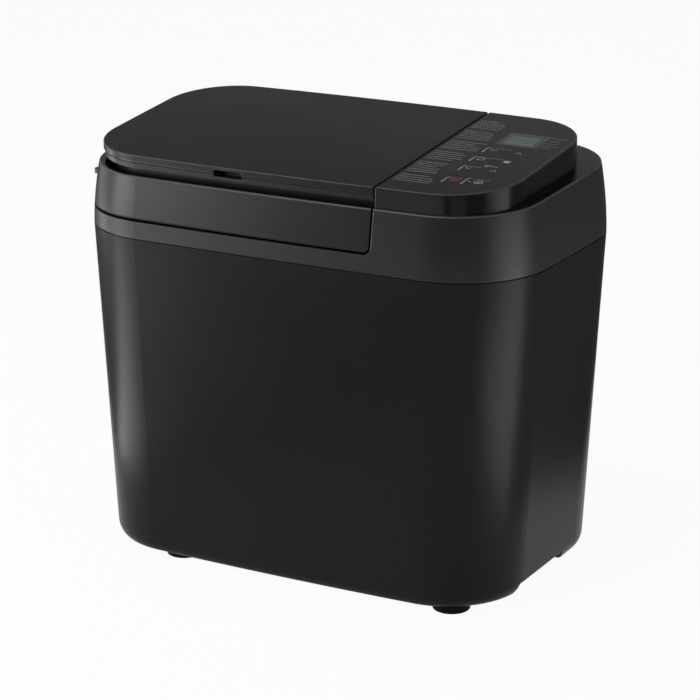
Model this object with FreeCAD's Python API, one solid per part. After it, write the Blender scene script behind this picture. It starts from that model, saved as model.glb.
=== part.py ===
import FreeCAD, Part
import math
import os

Vector = FreeCAD.Vector

# Millimetres. X runs along the front to the right, Y to the back, Z up.
# The plan is centred on the seam between case and band.
# Heights are measured from a datum above the floor, and the finished pieces are lifted by it.
datum_height = 4.0

# Lower case
seam_half_width = 204.0
seam_half_depth = 129.3
seam_corner = 76.0
seam_height = 277.4
underside_height = 3.0
case_taper_x = 14.5
case_taper_y = 8.4
case_corner_taper = 8.0
case_wall = 2.2
side_bow = 1.0
front_bow = 5.0
foot_edge_height = 11.5
foot_edge_inset_x = 7.0
foot_edge_inset_y = 4.6
arch_front_y = -56.0
arch_rear_y = 24.0
arch_height = 9.5
arch_run = 12.0
arch_depth_x = 52.0
vent_slot_count = 9
vent_slot_width = 3.0
vent_slot_height = 42.0
vent_pitch = 9.0
vent_mid_x = 86.0
vent_bottom_z = 140.0

# Band above the seam
band_height = 56.2
rim_height = seam_height + band_height
rim_tilt = 2.25
rim_inset = 5.6
rim_bulge_power = 1.8
rim_edge_radius = 1.6
band_wall = 2.5
spigot_height = 6.0
spigot_clearance = 0.2
reveal_height = 0.8
reveal_depth = 0.9
landing_rise = 6.6
landing_height = seam_height + landing_rise
landing_thickness = 3.0
panel_opening_margin = 12.0

# Lid and control panel share one sloping top
top_inset_x = 14.3
top_half_width = seam_half_width - top_inset_x
top_half_depth = 102.0
top_corner = 57.0
top_mid_y = -18.8
top_rise = 23.8
top_height = rim_height + top_rise
top_tilt = 5.75
top_edge_radius = 0.9
panel_width = 101.5
split_x = top_half_width - panel_width
split_gap = 2.0
skirt_rise = 17.0
skirt_bottom = seam_height + skirt_rise
skirt_gap = 2.0
skirt_corner = 5.0
lid_rear_margin = 0.8
lid_rear_y = top_mid_y + top_half_depth + lid_rear_margin
lid_rear_gap = 2.0
lid_wall = 2.5
plate_thickness = 5.5
plate_gap = 0.4
strip_height = 5.0
strip_inset = 1.2
groove_side_inset = 2.2
groove_front_outset = 0.4
groove_width = 9.0
groove_depth = 11.0
tray_thickness = 2.2
notch_left_x = -57.0
notch_width = 26.5
notch_depth = 8.0
notch_plate_cut = 3.0
notch_strip_cut = 2.6
tab_front_y = -76.0
tab_length = 54.0
tab_rise = 19.1
tab_bottom = skirt_bottom + tab_rise
tab_thickness = 4.0
tab_root = 14.0
tab_inset = 1.0

# Lid hinges
hinge_setback = 12.0
hinge_y = lid_rear_y + hinge_setback
hinge_rise = 11.4
hinge_z = rim_height + hinge_rise
hinge_x_places = (-140.0, 30.0)
hinge_pin_radius = 2.5
hinge_running_clearance = 0.05
hinge_lug_width = 16.0
hinge_lug_radius = 5.5
hinge_ear_width = 6.0
hinge_side_gap = 0.4
hinge_arm_length = 26.0
dispenser_hinge_setback = 5.0
dispenser_hinge_y = lid_rear_y + dispenser_hinge_setback
dispenser_hinge_drop = 2.4
dispenser_hinge_z = top_height - dispenser_hinge_drop
dispenser_hinge_x_places = (-95.0, -15.0)
dispenser_pin_radius = 1.6
dispenser_lug_width = 14.0
dispenser_lug_radius = 4.0
dispenser_ear_width = 5.0
dispenser_ear_length = 17.0
dispenser_web = 3.0

# Lid inside
inner_plate_rise = 13.6
inner_plate_height = seam_height + inner_plate_rise
inner_plate_thickness = 2.0
inner_plate_gap = 1.5
gasket_width = 6.0
gasket_offset = 3.0
gasket_clearance = 0.3
boss_radius = 5.0
lid_boss_inset = 19.7
lid_boss_left_x = lid_boss_inset - top_half_width
lid_boss_split_gap = 26.2
lid_boss_right_x = split_x - lid_boss_split_gap
lid_boss_places = (
    (lid_boss_left_x, -40.0), (lid_boss_left_x, 40.0),
    (lid_boss_right_x, -60.0), (lid_boss_right_x, 50.0),
)
dispenser_left_x = -108.0
dispenser_right_x = -8.0
dispenser_front_y = -60.0
dispenser_rear_y = -11.5
dispenser_wall = 2.0
dispenser_rise = 5.0
dispenser_bottom = inner_plate_height + dispenser_rise
dispenser_flange = 6.0
flap_axis_y = -8.0
flap_axis_rise = 1.0
flap_axis_z = dispenser_bottom + flap_axis_rise
flap_thickness = 2.0
flap_gap = 0.5
flap_pin_radius = 2.0
flap_barrel_radius = 3.0
flap_side_gap = 3.0
flap_ear_width = 5.0
lever_reach = 9.0
lever_width = 6.0
lever_half_height = 2.0
plunger_arm = 8.0
plunger_radius = 2.5
plunger_gap = 0.3
plunger_stroke = 6.0
plunger_head_gap = 1.0
plunger_head_height = 3.0
plunger_head_lip = 1.5
solenoid_width = 22.0
solenoid_rise = 8.0
solenoid_bottom = flap_axis_z + solenoid_rise
solenoid_height = 22.0
steam_vent_x = -122.0
steam_vent_y = 40.0
steam_vent_length = 44.0
steam_vent_width = 20.0
steam_slot_pitch = 8.0
steam_slot_half = 2.0
rear_slot_pitch = 6.0
rear_slot_height = 14.0

# Control panel
panel_wall = 2.5
overlay_thickness = 0.8
overlay_margin = 2.2
panel_skin = 2.4
key_right_inset = 29.7
key_pitch = 22.0
key_right_x = top_half_width - key_right_inset
key_columns = (key_right_x - key_pitch, key_right_x)
key_rows = (-8.0, -30.0, -53.0, -82.0)
key_width = 17.0
key_depth = 15.0
key_clearance = 0.3
key_flange = 1.2
key_flange_thickness = 1.0
key_flange_gap = 0.4
key_stem_radius = 2.0
key_stem_length = 4.0
key_rest_gap = 0.9
tact_width = 6.0
tact_height = 3.5
board_thickness = 1.6
control_board_margin = 6.0
board_post_radius = 4.0
board_post_inset = 8.0
board_corner_inset = 26.0
lcd_inset = 59.7
lcd_left_x = top_half_width - lcd_inset
lcd_width = 36.0
lcd_front_v = 8.0
lcd_depth = 31.0
lcd_module_thickness = 4.0
lcd_lip = 2.0

# Oven and pan
oven_x = -58.0
oven_y = -18.0
chamber_half_width = 98.0
chamber_half_depth = 86.0
chamber_corner = 40.0
chamber_floor = 77.0
chamber_sheet = 1.0
chamber_flange = 12.0
chamber_hole_clearance = 0.3
chamber_slip = 0.3
pan_half_width = 72.0
pan_half_depth = 62.0
pan_corner = 24.0
pan_draft = 4.0
pan_wall = 1.5
pan_floor_rise = 27.0
pan_floor = chamber_floor + pan_floor_rise
pan_rim_drop = 60.0
pan_rim = landing_height - pan_rim_drop
pan_skirt_radius = 28.0
pan_skirt_wall = 4.0
pan_rest_gap = 0.3
seat_wall = 5.0
seat_height = 12.0
seat_clearance = 0.5
handle_pivot_rise = 7.0
handle_wire_radius = 3.2
handle_reach = 46.0
handle_pin_radius = 2.4
handle_pin_clearance = 0.05
ear_half_width = 9.0
ear_thickness = 3.0
ear_depth = 18.0
pan_rim_lip = 3.0
pan_rim_height = 2.5
handle_bend = 14.0
handle_tail = 6.0
handle_side_gap = 4.0
heater_radius = 3.2
heater_rise = 15.0
heater_height = chamber_floor + heater_rise
heater_half_width = 84.0
heater_half_depth = 73.0
heater_corner = 28.0
heater_terminal_y = 16.0
heater_lead = 12.0
heater_bend = 10.0
clip_width = 8.0
clip_clearance = 0.05
sensor_radius = 3.0
sensor_length = 18.0
sensor_height = 150.0
sensor_offset = 36.0
sensor_collar = 3.0
sensor_tail = 8.0

# Drive
motor_x = 122.0
frame_height = 40.0
frame_thickness = 3.0
frame_margin = 10.0
frame_motor_margin = 6.0
frame_shaft_hole = 9.5
frame_motor_hole = 15.0
post_radius = 6.0
base_inset = 67.0
base_half_width = seam_half_width - base_inset
post_left_inset = 25.0
post_left_x = post_left_inset - base_half_width
post_mid_x = 40.0
post_right_inset = 9.0
post_right_x = base_half_width - post_right_inset
post_front_y = -68.0
post_rear_y = 24.0
post_places = [(x, y) for x in (post_left_x, post_mid_x, post_right_x) for y in (post_front_y, post_rear_y)]
base_half_depth = 86.0
base_corner = 20.0
base_thickness = 2.5
base_land = 12.0
drive_shaft_radius = 5.0
bush_radius = 8.0
bush_length = 10.0
shaft_clearance = 0.04
housing_radius = 12.0
housing_flange_radius = 24.0
housing_flange_thickness = 4.0
pulley_radius = 46.0
pulley_flange = 3.5
pulley_bottom = 18.0
pulley_width = 14.0
motor_pulley_radius = 9.0
belt_width = 8.0
belt_thickness = 2.0
belt_clearance = 0.3
pulley_hole_count = 5
pulley_hole_radius = 9.0
pulley_hole_circle = 28.0
nut_radius = 9.0
nut_height = 5.0
shaft_tail = 3.0
dog_radius = 15.0
dog_thickness = 4.0
dog_lug_height = 7.0
dog_gap = 1.0
dog_lug_start = 7.0
dog_lug_half = 3.5
housing_proud = 3.0
pan_shaft_radius = 4.0
pan_bearing_radius = 8.0
pan_bearing_flange = 12.0
pan_bearing_rise = 6.0
blade_gap = 0.5
blade_cap = 4.0
blade_hub_radius = 9.0
blade_hub_height = 20.0
blade_length = 44.0
blade_height = 24.0
blade_thickness = 5.0
motor_half_width = 38.0
stator_height = 46.0
bracket_thickness = 6.0
rotor_radius = 21.0
rotor_gap = 0.5
motor_shaft_radius = 4.0
motor_bolt_radius = 2.0
motor_bolt_inset = 6.0
motor_corner = 6.0
bolt_tail = 4.0
bolt_head_height = 3.0

# Electrics and fasteners
power_board_inset = 3.0
power_board_length = 94.0
power_board_gap = 4.0
power_board_width = 44.0
power_screw_inset_x = 8.0
power_screw_inset_y = 6.0
power_board_height = 55.0
capacitor_radius = 9.0
capacitor_height = 28.0
capacitor_inset = 30.0
transformer_width = 24.0
transformer_depth = 28.0
transformer_height = 22.0
transformer_inset = 18.0
relay_width = 9.0
relay_depth = 18.0
relay_height = 15.0
relay_inset = 42.0
gland_x = 100.0
gland_z = 90.0
gland_bore = 3.75
gland_wall = 3.0
gland_flange = 3.0
gland_flange_thickness = 2.5
gland_seat_gap = 0.6
gland_fit = 0.1
foot_radius = 15.5
foot_edge_radius = 1.5
foot_left_inset = 95.5
foot_right_inset = 59.0
foot_left_x = foot_left_inset - seam_half_width
foot_right_x = seam_half_width - foot_right_inset
foot_places = ((foot_left_x, -93.0), (foot_right_x, -92.0), (foot_left_x, 93.0), (foot_right_x, 92.0))
foot_stem_radius = 4.0
screw_radius = 1.6
screw_head_radius = 3.2
screw_head_height = 1.8
screw_clearance = 0.1
base_screw_inset = 6.0
base_screw_x = base_half_width - base_screw_inset
base_screw_places = (
    (-base_screw_x, -60.0), (-base_screw_x, 60.0), (base_screw_x, -55.0), (base_screw_x, 55.0),
)
lid_screw_bite = 10.0
frame_screw_bite = 10.0
board_screw_bite = 6.0
panel_screw_bite = 4.0
screw_tip_room = 2.0

far = 600.0
parts = {}


def block(x0, x1, y0, y1, z0, z1):
    return Part.makeBox(x1 - x0, y1 - y0, z1 - z0, Vector(x0, y0, z0))


def rod(radius, start, end):
    axis = end - start
    return Part.makeCylinder(radius, axis.Length, start, axis)


def post(radius, x, y, z0, z1):
    return rod(radius, Vector(x, y, z0), Vector(x, y, z1))


def cross_rod(radius, x0, x1, y, z):
    return rod(radius, Vector(x0, y, z), Vector(x1, y, z))


def fuse(shapes):
    return shapes[0].multiFuse(shapes[1:]).removeSplitter()


def upright_edges(solid):
    found = []
    for edge in solid.Edges:
        ends = [vertex.Point for vertex in edge.Vertexes]
        if len(ends) == 2 and (ends[1] - ends[0]).cross(Vector(0, 0, 1)).Length < 1e-6:
            found.append(edge)
    return found


def rounded_block(x0, x1, y0, y1, z0, z1, corner):
    solid = block(x0, x1, y0, y1, z0, z1)
    return solid.makeFillet(corner, upright_edges(solid))


def bowed_ring(half_x, half_y, corner, z, tilt=0.0, mid_y=0.0):
    # A plan outline: four shallow arcs for the sides, joined by tangent corner arcs.
    side_radius = (half_y ** 2 + side_bow ** 2) / (2 * side_bow)
    front_radius = (half_x ** 2 + front_bow ** 2) / (2 * front_bow)
    side_centre = Vector(half_x - side_radius, 0, 0)
    front_centre = Vector(0, half_y - front_radius, 0)
    span = front_centre - side_centre
    reach = side_radius - corner
    along = (reach ** 2 - (front_radius - corner) ** 2 + span.Length ** 2) / (2 * span.Length)
    unit = span * (1 / span.Length)
    across = Vector(unit.y, -unit.x, 0)
    offset = math.sqrt(reach ** 2 - along ** 2)
    ends = [side_centre + unit * along + across * (offset * sign) for sign in (1, -1)]
    corner_centre = max(ends, key=lambda point: point.x + point.y)
    side_way = corner_centre - side_centre
    front_way = corner_centre - front_centre
    side_end = side_centre + side_way * (side_radius / side_way.Length)
    front_end = front_centre + front_way * (front_radius / front_way.Length)
    middle = (side_end + front_end) * 0.5 - corner_centre
    corner_mid = corner_centre + middle * (corner / middle.Length)

    def at(point, sign_x, sign_y):
        return Vector(point.x * sign_x, point.y * sign_y, 0)

    right = Vector(half_x, 0, 0)
    rear = Vector(0, half_y, 0)
    runs = [
        (at(side_end, 1, -1), right, side_end),
        (side_end, corner_mid, front_end),
        (front_end, rear, at(front_end, -1, 1)),
        (at(front_end, -1, 1), at(corner_mid, -1, 1), at(side_end, -1, 1)),
        (at(side_end, -1, 1), at(right, -1, 1), at(side_end, -1, -1)),
        (at(side_end, -1, -1), at(corner_mid, -1, -1), at(front_end, -1, -1)),
        (at(front_end, -1, -1), at(rear, 1, -1), at(front_end, 1, -1)),
        (at(front_end, 1, -1), at(corner_mid, 1, -1), at(side_end, 1, -1)),
    ]
    wire = Part.Wire([Part.Arc(*run).toShape() for run in runs])
    wire.rotate(Vector(0, 0, 0), Vector(1, 0, 0), tilt)
    wire.translate(Vector(0, mid_y, z))
    return wire


def prism(wire, height):
    return Part.Face(wire).extrude(Vector(0, 0, height))


def box_ring(half_x, half_y, corner, x, y, z):
    # A rounded rectangle of lines and quarter arcs.
    points = []
    for sign_x, sign_y, start in ((1, 1, 0), (-1, 1, 90), (-1, -1, 180), (1, -1, 270)):
        centre = Vector(x + sign_x * (half_x - corner), y + sign_y * (half_y - corner), z)
        turn = [math.radians(start + step) for step in (0, 45, 90)]
        points.append([centre + Vector(corner * math.cos(a), corner * math.sin(a), 0) for a in turn])
    edges = []
    for index, arc in enumerate(points):
        edges.append(Part.Arc(*arc).toShape())
        edges.append(Part.LineSegment(arc[2], points[(index + 1) % 4][0]).toShape())
    return Part.Wire(edges)


def tilted_above(height, tilt):
    solid = block(-far, far, -far, far, 0, far)
    solid.Placement = FreeCAD.Placement(Vector(0, 0, height), FreeCAD.Rotation(Vector(1, 0, 0), tilt))
    return solid


def on_top(solid):
    # Places a solid that was drawn on the level plane on the sloping top.
    slope = FreeCAD.Rotation(Vector(1, 0, 0), top_tilt)
    placed = solid.copy()
    placed.Placement = FreeCAD.Placement(Vector(0, 0, top_height), slope).multiply(solid.Placement)
    return placed


def top_slab(low, high):
    return on_top(block(-far, far, -far, far, low, high))


lid_right = split_x - split_gap / 2
panel_left = split_x + split_gap / 2
pocket_rear = lid_rear_y + lid_rear_gap


# Lower case

def case_ring(z, inset_x=0.0, inset_y=0.0):
    share = (seam_height - z) / (seam_height - underside_height)
    half_x = seam_half_width - case_taper_x * share - inset_x
    half_y = seam_half_depth - case_taper_y * share - inset_y
    corner = seam_corner - case_corner_taper * share - inset_y
    return bowed_ring(half_x, half_y, corner, z)


def case_solid(inset, floor):
    # The tapered body and its rounded foot edge, drawn in by a wall.
    edge_top = underside_height + foot_edge_height
    drop = edge_top - floor
    body = Part.makeLoft([case_ring(z, inset, inset) for z in (edge_top, seam_height)], True, True)
    rings = []
    for angle in (0, 22, 45, 68, 90):
        turn = math.radians(angle)
        fall = 1 - math.cos(turn)
        z = edge_top - drop * math.sin(turn)
        rings.append(case_ring(z, inset + foot_edge_inset_x * fall, inset + foot_edge_inset_y * fall))
    return body.fuse(Part.makeLoft(rings, True, False)).removeSplitter()


def side_arches(grow):
    # The raised stretch under each side.
    top = underside_height + arch_height + grow
    outline = [
        Vector(0, arch_front_y - arch_run - grow, -datum_height),
        Vector(0, arch_front_y - grow, top),
        Vector(0, arch_rear_y + grow, top),
        Vector(0, arch_rear_y + arch_run + grow, -datum_height),
    ]
    face = Part.Face(Part.makePolygon(outline + outline[:1]))
    arches = []
    for side in (1, -1):
        start = side * (seam_half_width - arch_depth_x - grow)
        bar = face.extrude(Vector(side * (arch_depth_x + 2 * grow), 0, 0))
        bar.translate(Vector(start, 0, 0))
        arches.append(bar)
    return arches


case_outside = case_solid(0.0, underside_height).cut(side_arches(0.0))
floor_top = underside_height + case_wall


def wall_y_at(z):
    share = (seam_height - z) / (seam_height - underside_height)
    return seam_half_depth - case_taper_y * share


def make_case():
    inside = case_solid(case_wall, floor_top).cut(side_arches(case_wall))
    shell = case_outside.cut(inside)
    land_x = base_half_width - base_land
    land_y = base_half_depth - base_land
    cuts = [rounded_block(-land_x, land_x, -land_y, land_y, 0, floor_top + 1, base_corner)]
    for x, y in foot_places:
        cuts.append(post(foot_stem_radius, x, y, 0, floor_top + 1))
    for x, y in base_screw_places:
        cuts.append(post(screw_radius + screw_clearance, x, y, 0, floor_top + 1))
    first = vent_mid_x - vent_pitch * (vent_slot_count - 1) / 2
    for index in range(vent_slot_count):
        x = first + index * vent_pitch
        half = vent_slot_width / 2
        slot = block(x - half, x + half, 0, far, vent_bottom_z, vent_bottom_z + vent_slot_height)
        cuts.append(slot)
    hole = gland_bore + gland_wall
    cuts.append(rod(hole, Vector(gland_x, 0, gland_z), Vector(gland_x, far, gland_z)))
    return shell.cut(cuts)


parts["outer_case"] = make_case()


# Band

def band_ring(share, inset, drop=0.0):
    bulge = rim_inset * share ** rim_bulge_power
    z = seam_height + (rim_height - seam_height - drop) * share
    half_x = seam_half_width - bulge - inset
    half_y = seam_half_depth - bulge - inset
    return bowed_ring(half_x, half_y, seam_corner - bulge - inset, z, rim_tilt * share)


band_shares = (0.0, 0.35, 0.7, 1.0)
band_envelope = Part.makeLoft([band_ring(s, 0.0) for s in band_shares], True, False)
band_middle = (seam_height + rim_height) / 2
rim_edges = [edge for edge in band_envelope.Edges if edge.BoundBox.ZMin > band_middle]
band_outside = band_envelope.makeFillet(rim_edge_radius, rim_edges)
band_inside = Part.makeLoft([band_ring(s, band_wall, band_wall) for s in band_shares], True, False)


def rim_z_at(y):
    return rim_height + y * math.tan(math.radians(rim_tilt))


def lid_zone(right, rear, bottom, corner):
    zone = block(-far, right, -far, rear, bottom, far)
    edges = []
    for edge in zone.Edges:
        box = edge.BoundBox
        if abs(box.XMin - right) < 1e-6 and abs(box.XMax - right) < 1e-6 and box.ZMax < bottom + 1e-6:
            edges.append(edge)
    return zone.makeFillet(corner, edges)


def hinge_ears():
    ears = []
    for x in hinge_x_places:
        for side in (1, -1):
            near = x + side * (hinge_lug_width / 2 + hinge_side_gap)
            x0, x1 = sorted((near, near + side * hinge_ear_width))
            half = hinge_lug_radius
            foot = block(x0, x1, hinge_y - half, hinge_y + half, rim_z_at(hinge_y) - band_wall, hinge_z)
            ears.append(foot)
            ears.append(cross_rod(half, x0, x1, hinge_y, hinge_z))
    return ears


def hinge_bores(radius):
    return [
        cross_rod(radius, x - hinge_lug_width * 2, x + hinge_lug_width * 2, hinge_y, hinge_z)
        for x in hinge_x_places
    ]


def make_band():
    shell = band_outside.cut(band_inside)
    under = landing_height - landing_thickness
    deck = band_outside.common(block(-far, panel_left + band_wall, -far, far, under, landing_height))
    bulkhead = band_outside.common(block(panel_left, panel_left + band_wall, -far, far, under, far))
    rear_wall = band_outside.common(
        block(-far, panel_left + band_wall, pocket_rear, pocket_rear + band_wall, under, far)
    )
    clear = case_wall + spigot_clearance
    spigot_low = seam_height - spigot_height
    spigot_out = Part.makeLoft([case_ring(z, clear, clear) for z in (spigot_low, seam_height)], True, True)
    thick = clear + band_wall
    spigot_in = Part.makeLoft([case_ring(z, thick, thick) for z in (spigot_low, seam_height)], True, True)
    lip = prism(band_ring(0.0, band_wall - 0.01), landing_height - landing_thickness - seam_height)
    lip = lip.cut(prism(band_ring(0.0, thick), landing_height - landing_thickness - seam_height))
    spigot = spigot_out.cut(spigot_in)
    body = fuse([shell, deck, bulkhead, rear_wall, lip, spigot] + hinge_ears())
    pocket = lid_zone(panel_left, pocket_rear, skirt_bottom - skirt_gap, skirt_corner + skirt_gap)
    opening = prism(
        box_ring(chamber_half_width, chamber_half_depth, chamber_corner, oven_x, oven_y, under - 1),
        landing_thickness + 2,
    )
    inner_top = plan_ring(panel_opening_margin)
    right_part = block(panel_left + panel_opening_margin, far, -far, far, 0, far)
    panel_hole = prism(inner_top, far).common(right_part)
    reveal = prism(band_ring(0.0, -1.0), reveal_height)
    reveal = reveal.cut(prism(band_ring(0.0, reveal_depth), reveal_height))
    return body.cut([pocket, opening, panel_hole, reveal] + hinge_bores(hinge_pin_radius))


def plan_ring(inset, inset_y=None):
    # The outline of the sloping top, drawn in by an inset.
    inset_y = inset if inset_y is None else inset_y
    half_x = top_half_width - inset
    half_y = top_half_depth - inset_y
    return bowed_ring(half_x, half_y, top_corner - max(inset, inset_y), landing_height, 0.0, top_mid_y)


parts["top_band"] = make_band()
parts["hinge_pins"] = Part.makeCompound([
    cross_rod(
        hinge_pin_radius,
        x - hinge_lug_width / 2 - hinge_side_gap - hinge_ear_width,
        x + hinge_lug_width / 2 + hinge_side_gap + hinge_ear_width,
        hinge_y,
        hinge_z,
    )
    for x in hinge_x_places
])


# Lid

plan_column = prism(plan_ring(0.0), far)
strip_top = -(plate_thickness + plate_gap)
strip_bottom = strip_top - strip_height
tray_under = strip_top - tray_thickness
groove_inner = plan_ring(groove_side_inset + groove_width, groove_width - groove_front_outset)
groove_outer = plan_ring(groove_side_inset, -groove_front_outset)
left_of_split = block(-far, lid_right, -far, lid_rear_y, 0, far)
notch_right_x = notch_left_x + notch_width
top_front_y = top_mid_y - top_half_depth


def notch(low, high):
    slot = block(notch_left_x, notch_right_x, top_front_y - notch_depth, top_front_y + notch_depth, low, high)
    return on_top(slot)


def lid_lugs():
    lugs = []
    for x in hinge_x_places:
        half = hinge_lug_width / 2
        arm_half = hinge_lug_radius - 1
        arm_start = hinge_y - hinge_arm_length
        lugs.append(block(x - half, x + half, arm_start, hinge_y, hinge_z - arm_half, hinge_z + arm_half))
        lugs.append(cross_rod(hinge_lug_radius, x - half, x + half, hinge_y, hinge_z))
    for x in dispenser_hinge_x_places:
        for side in (1, -1):
            near = x + side * (dispenser_lug_width / 2 + hinge_side_gap)
            x0, x1 = sorted((near, near + side * dispenser_ear_width))
            y, z = dispenser_hinge_y, dispenser_hinge_z
            lugs.append(block(x0, x1, y - dispenser_ear_length, y, z - dispenser_lug_radius, z + 1))
            lugs.append(cross_rod(dispenser_lug_radius, x0, x1, y, z))
    return lugs


def dispenser_bores(radius):
    reach = dispenser_lug_width
    return [
        cross_rod(radius, x - reach, x + reach, dispenser_hinge_y, dispenser_hinge_z)
        for x in dispenser_hinge_x_places
    ]


def make_lid_shell():
    zone = lid_zone(lid_right, lid_rear_y, skirt_bottom, skirt_corner)
    base = band_outside.common(zone)
    core = prism(groove_inner, far)
    above_groove = tilted_above(rim_height - groove_depth, rim_tilt)
    groove = prism(groove_outer, far).cut(core).common(above_groove)
    pedestal = core.common(above_groove).common(top_slab(-far, strip_top))
    strip = prism(plan_ring(strip_inset), far).common(top_slab(strip_bottom, strip_top))
    tab_rear = tab_front_y + tab_length
    tab = rounded_block(
        tab_inset - seam_half_width, tab_root - seam_half_width, tab_front_y, tab_rear,
        tab_bottom, tab_bottom + tab_thickness, tab_thickness,
    )
    solid = fuse([base.cut(groove), pedestal.common(left_of_split), strip.common(left_of_split), tab])
    inner_box = block(-far, lid_right - lid_wall, -far, lid_rear_y - lid_wall, 0, far)
    ceiling = tilted_above(rim_height - groove_depth - lid_wall, rim_tilt)
    low_room = band_inside.common(inner_box).cut(ceiling)
    shrink = groove_side_inset + groove_width + lid_wall
    room_ring = plan_ring(shrink, groove_width - groove_front_outset + lid_wall)
    high_room = prism(room_ring, far).common(top_slab(-far, tray_under)).common(inner_box)
    shell = solid.cut([low_room, high_room])
    bosses = []
    boss_low = inner_plate_height + inner_plate_thickness
    for x, y in lid_boss_places:
        boss = post(boss_radius, x, y, boss_low, far)
        bosses.append(boss.common(solid).common(inner_box).fuse(
            post(boss_radius, x, y, boss_low, rim_height - groove_depth - lid_wall)))
    whole = fuse([shell] + bosses + lid_lugs())
    mouth = block(
        dispenser_left_x + dispenser_wall, dispenser_right_x - dispenser_wall,
        dispenser_front_y + dispenser_wall, dispenser_rear_y - dispenser_wall, dispenser_bottom, far,
    )
    cuts = [mouth, notch(strip_top - notch_strip_cut, strip_top + 1)]
    cuts += hinge_bores(hinge_pin_radius + hinge_running_clearance)
    cuts += dispenser_bores(dispenser_pin_radius)
    for x, y in lid_boss_places:
        cuts.append(post(screw_radius, x, y, boss_low, boss_low + lid_screw_bite + screw_tip_room))
    slot_low = skirt_bottom + lid_wall * 2
    for step in (-2.5, -1.5, -0.5, 0.5, 1.5, 2.5):
        x = steam_vent_x + step * rear_slot_pitch
        inner = lid_rear_y - lid_wall - 1
        cuts.append(block(x - 1, x + 1, inner, lid_rear_y + 1, slot_low, slot_low + rear_slot_height))
    return whole.cut(cuts)


parts["lid_shell"] = make_lid_shell()


def make_dispenser_lid():
    plate = plan_column.common(top_slab(-plate_thickness, 0)).common(left_of_split)
    edges = []
    for edge in plate.Edges:
        middle = edge.valueAt((edge.FirstParameter + edge.LastParameter) / 2)
        height = top_height + middle.y * math.tan(math.radians(top_tilt))
        if abs(middle.z - height) < 0.01:
            edges.append(edge)
    plate = plate.makeFillet(top_edge_radius, edges)
    pieces = [plate]
    y, z = dispenser_hinge_y, dispenser_hinge_z
    for x in dispenser_hinge_x_places:
        half = dispenser_lug_width / 2
        top = z + dispenser_lug_radius * 2
        rear = y + dispenser_web
        pieces.append(block(x - half, x + half, y - dispenser_lug_radius * 2, rear, top - 2, top))
        pieces.append(block(x - half, x + half, y - dispenser_web - 2, rear, z, top))
        pieces.append(cross_rod(dispenser_lug_radius, x - half, x + half, y, z))
    running = dispenser_pin_radius + hinge_running_clearance
    cuts = [notch(-plate_thickness - 1, notch_plate_cut - plate_thickness)] + dispenser_bores(running)
    return fuse(pieces).cut(cuts)


parts["dispenser_lid"] = make_dispenser_lid()
parts["dispenser_hinge_pins"] = Part.makeCompound([
    cross_rod(
        dispenser_pin_radius,
        x - dispenser_lug_width / 2 - hinge_side_gap - dispenser_ear_width,
        x + dispenser_lug_width / 2 + hinge_side_gap + dispenser_ear_width,
        dispenser_hinge_y,
        dispenser_hinge_z,
    )
    for x in dispenser_hinge_x_places
])


def make_inner_plate():
    top = inner_plate_height + inner_plate_thickness
    inset = band_wall + inner_plate_gap + 1
    sheet = prism(band_ring(0.0, inset), far).common(
        block(-far, lid_right - lid_wall, -far, lid_rear_y - lid_wall, inner_plate_height, top))
    cuts = [
        block(
            dispenser_left_x - 1, dispenser_right_x + 1,
            dispenser_front_y - 2, flap_axis_y + 6, inner_plate_height - 1, top + 1,
        ),
        block(
            dispenser_left_x - 10 - lever_width, dispenser_left_x + 1,
            flap_axis_y - lever_reach - 4, flap_axis_y + 6, inner_plate_height - 1, top + 1,
        ),
    ]
    for x, y in lid_boss_places:
        cuts.append(post(screw_radius + screw_clearance, x, y, inner_plate_height - 1, top + 1))
    cuts += steam_slots(inner_plate_height - 1, top + 1)
    return sheet.cut(cuts)


def steam_slots(low, high):
    slots = []
    half = steam_vent_width / 2 - steam_slot_half * 2
    for step in (-2, -1, 0, 1, 2):
        x = steam_vent_x + step * steam_slot_pitch
        slots.append(block(
            x - steam_slot_half, x + steam_slot_half, steam_vent_y - half, steam_vent_y + half, low, high))
    return slots


parts["lid_inner_plate"] = make_inner_plate()
parts["steam_vent"] = rounded_block(
    steam_vent_x - steam_vent_length / 2, steam_vent_x + steam_vent_length / 2,
    steam_vent_y - steam_vent_width / 2, steam_vent_y + steam_vent_width / 2,
    inner_plate_height - 2, inner_plate_height, 3,
).cut(steam_slots(inner_plate_height - 3, inner_plate_height + 1))


def screw(x, y, face, length, up):
    # A pan-head screw whose head bears on a level face; up is the way the shank points.
    head = post(screw_head_radius, x, y, face, face - up * screw_head_height)
    return head.fuse(post(screw_radius, x, y, face, face + up * length)).removeSplitter()


parts["lid_screws"] = Part.makeCompound([
    screw(x, y, inner_plate_height, inner_plate_thickness + lid_screw_bite, 1) for x, y in lid_boss_places
])

gasket_low = landing_height + chamber_sheet + gasket_clearance
gasket_tall = inner_plate_height - gasket_low


def gasket_prism(offset):
    ring = box_ring(
        chamber_half_width + offset, chamber_half_depth + offset, chamber_corner + offset,
        oven_x, oven_y, gasket_low,
    )
    return prism(ring, gasket_tall)


parts["lid_gasket"] = gasket_prism(gasket_offset + gasket_width).cut(gasket_prism(gasket_offset))


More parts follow.
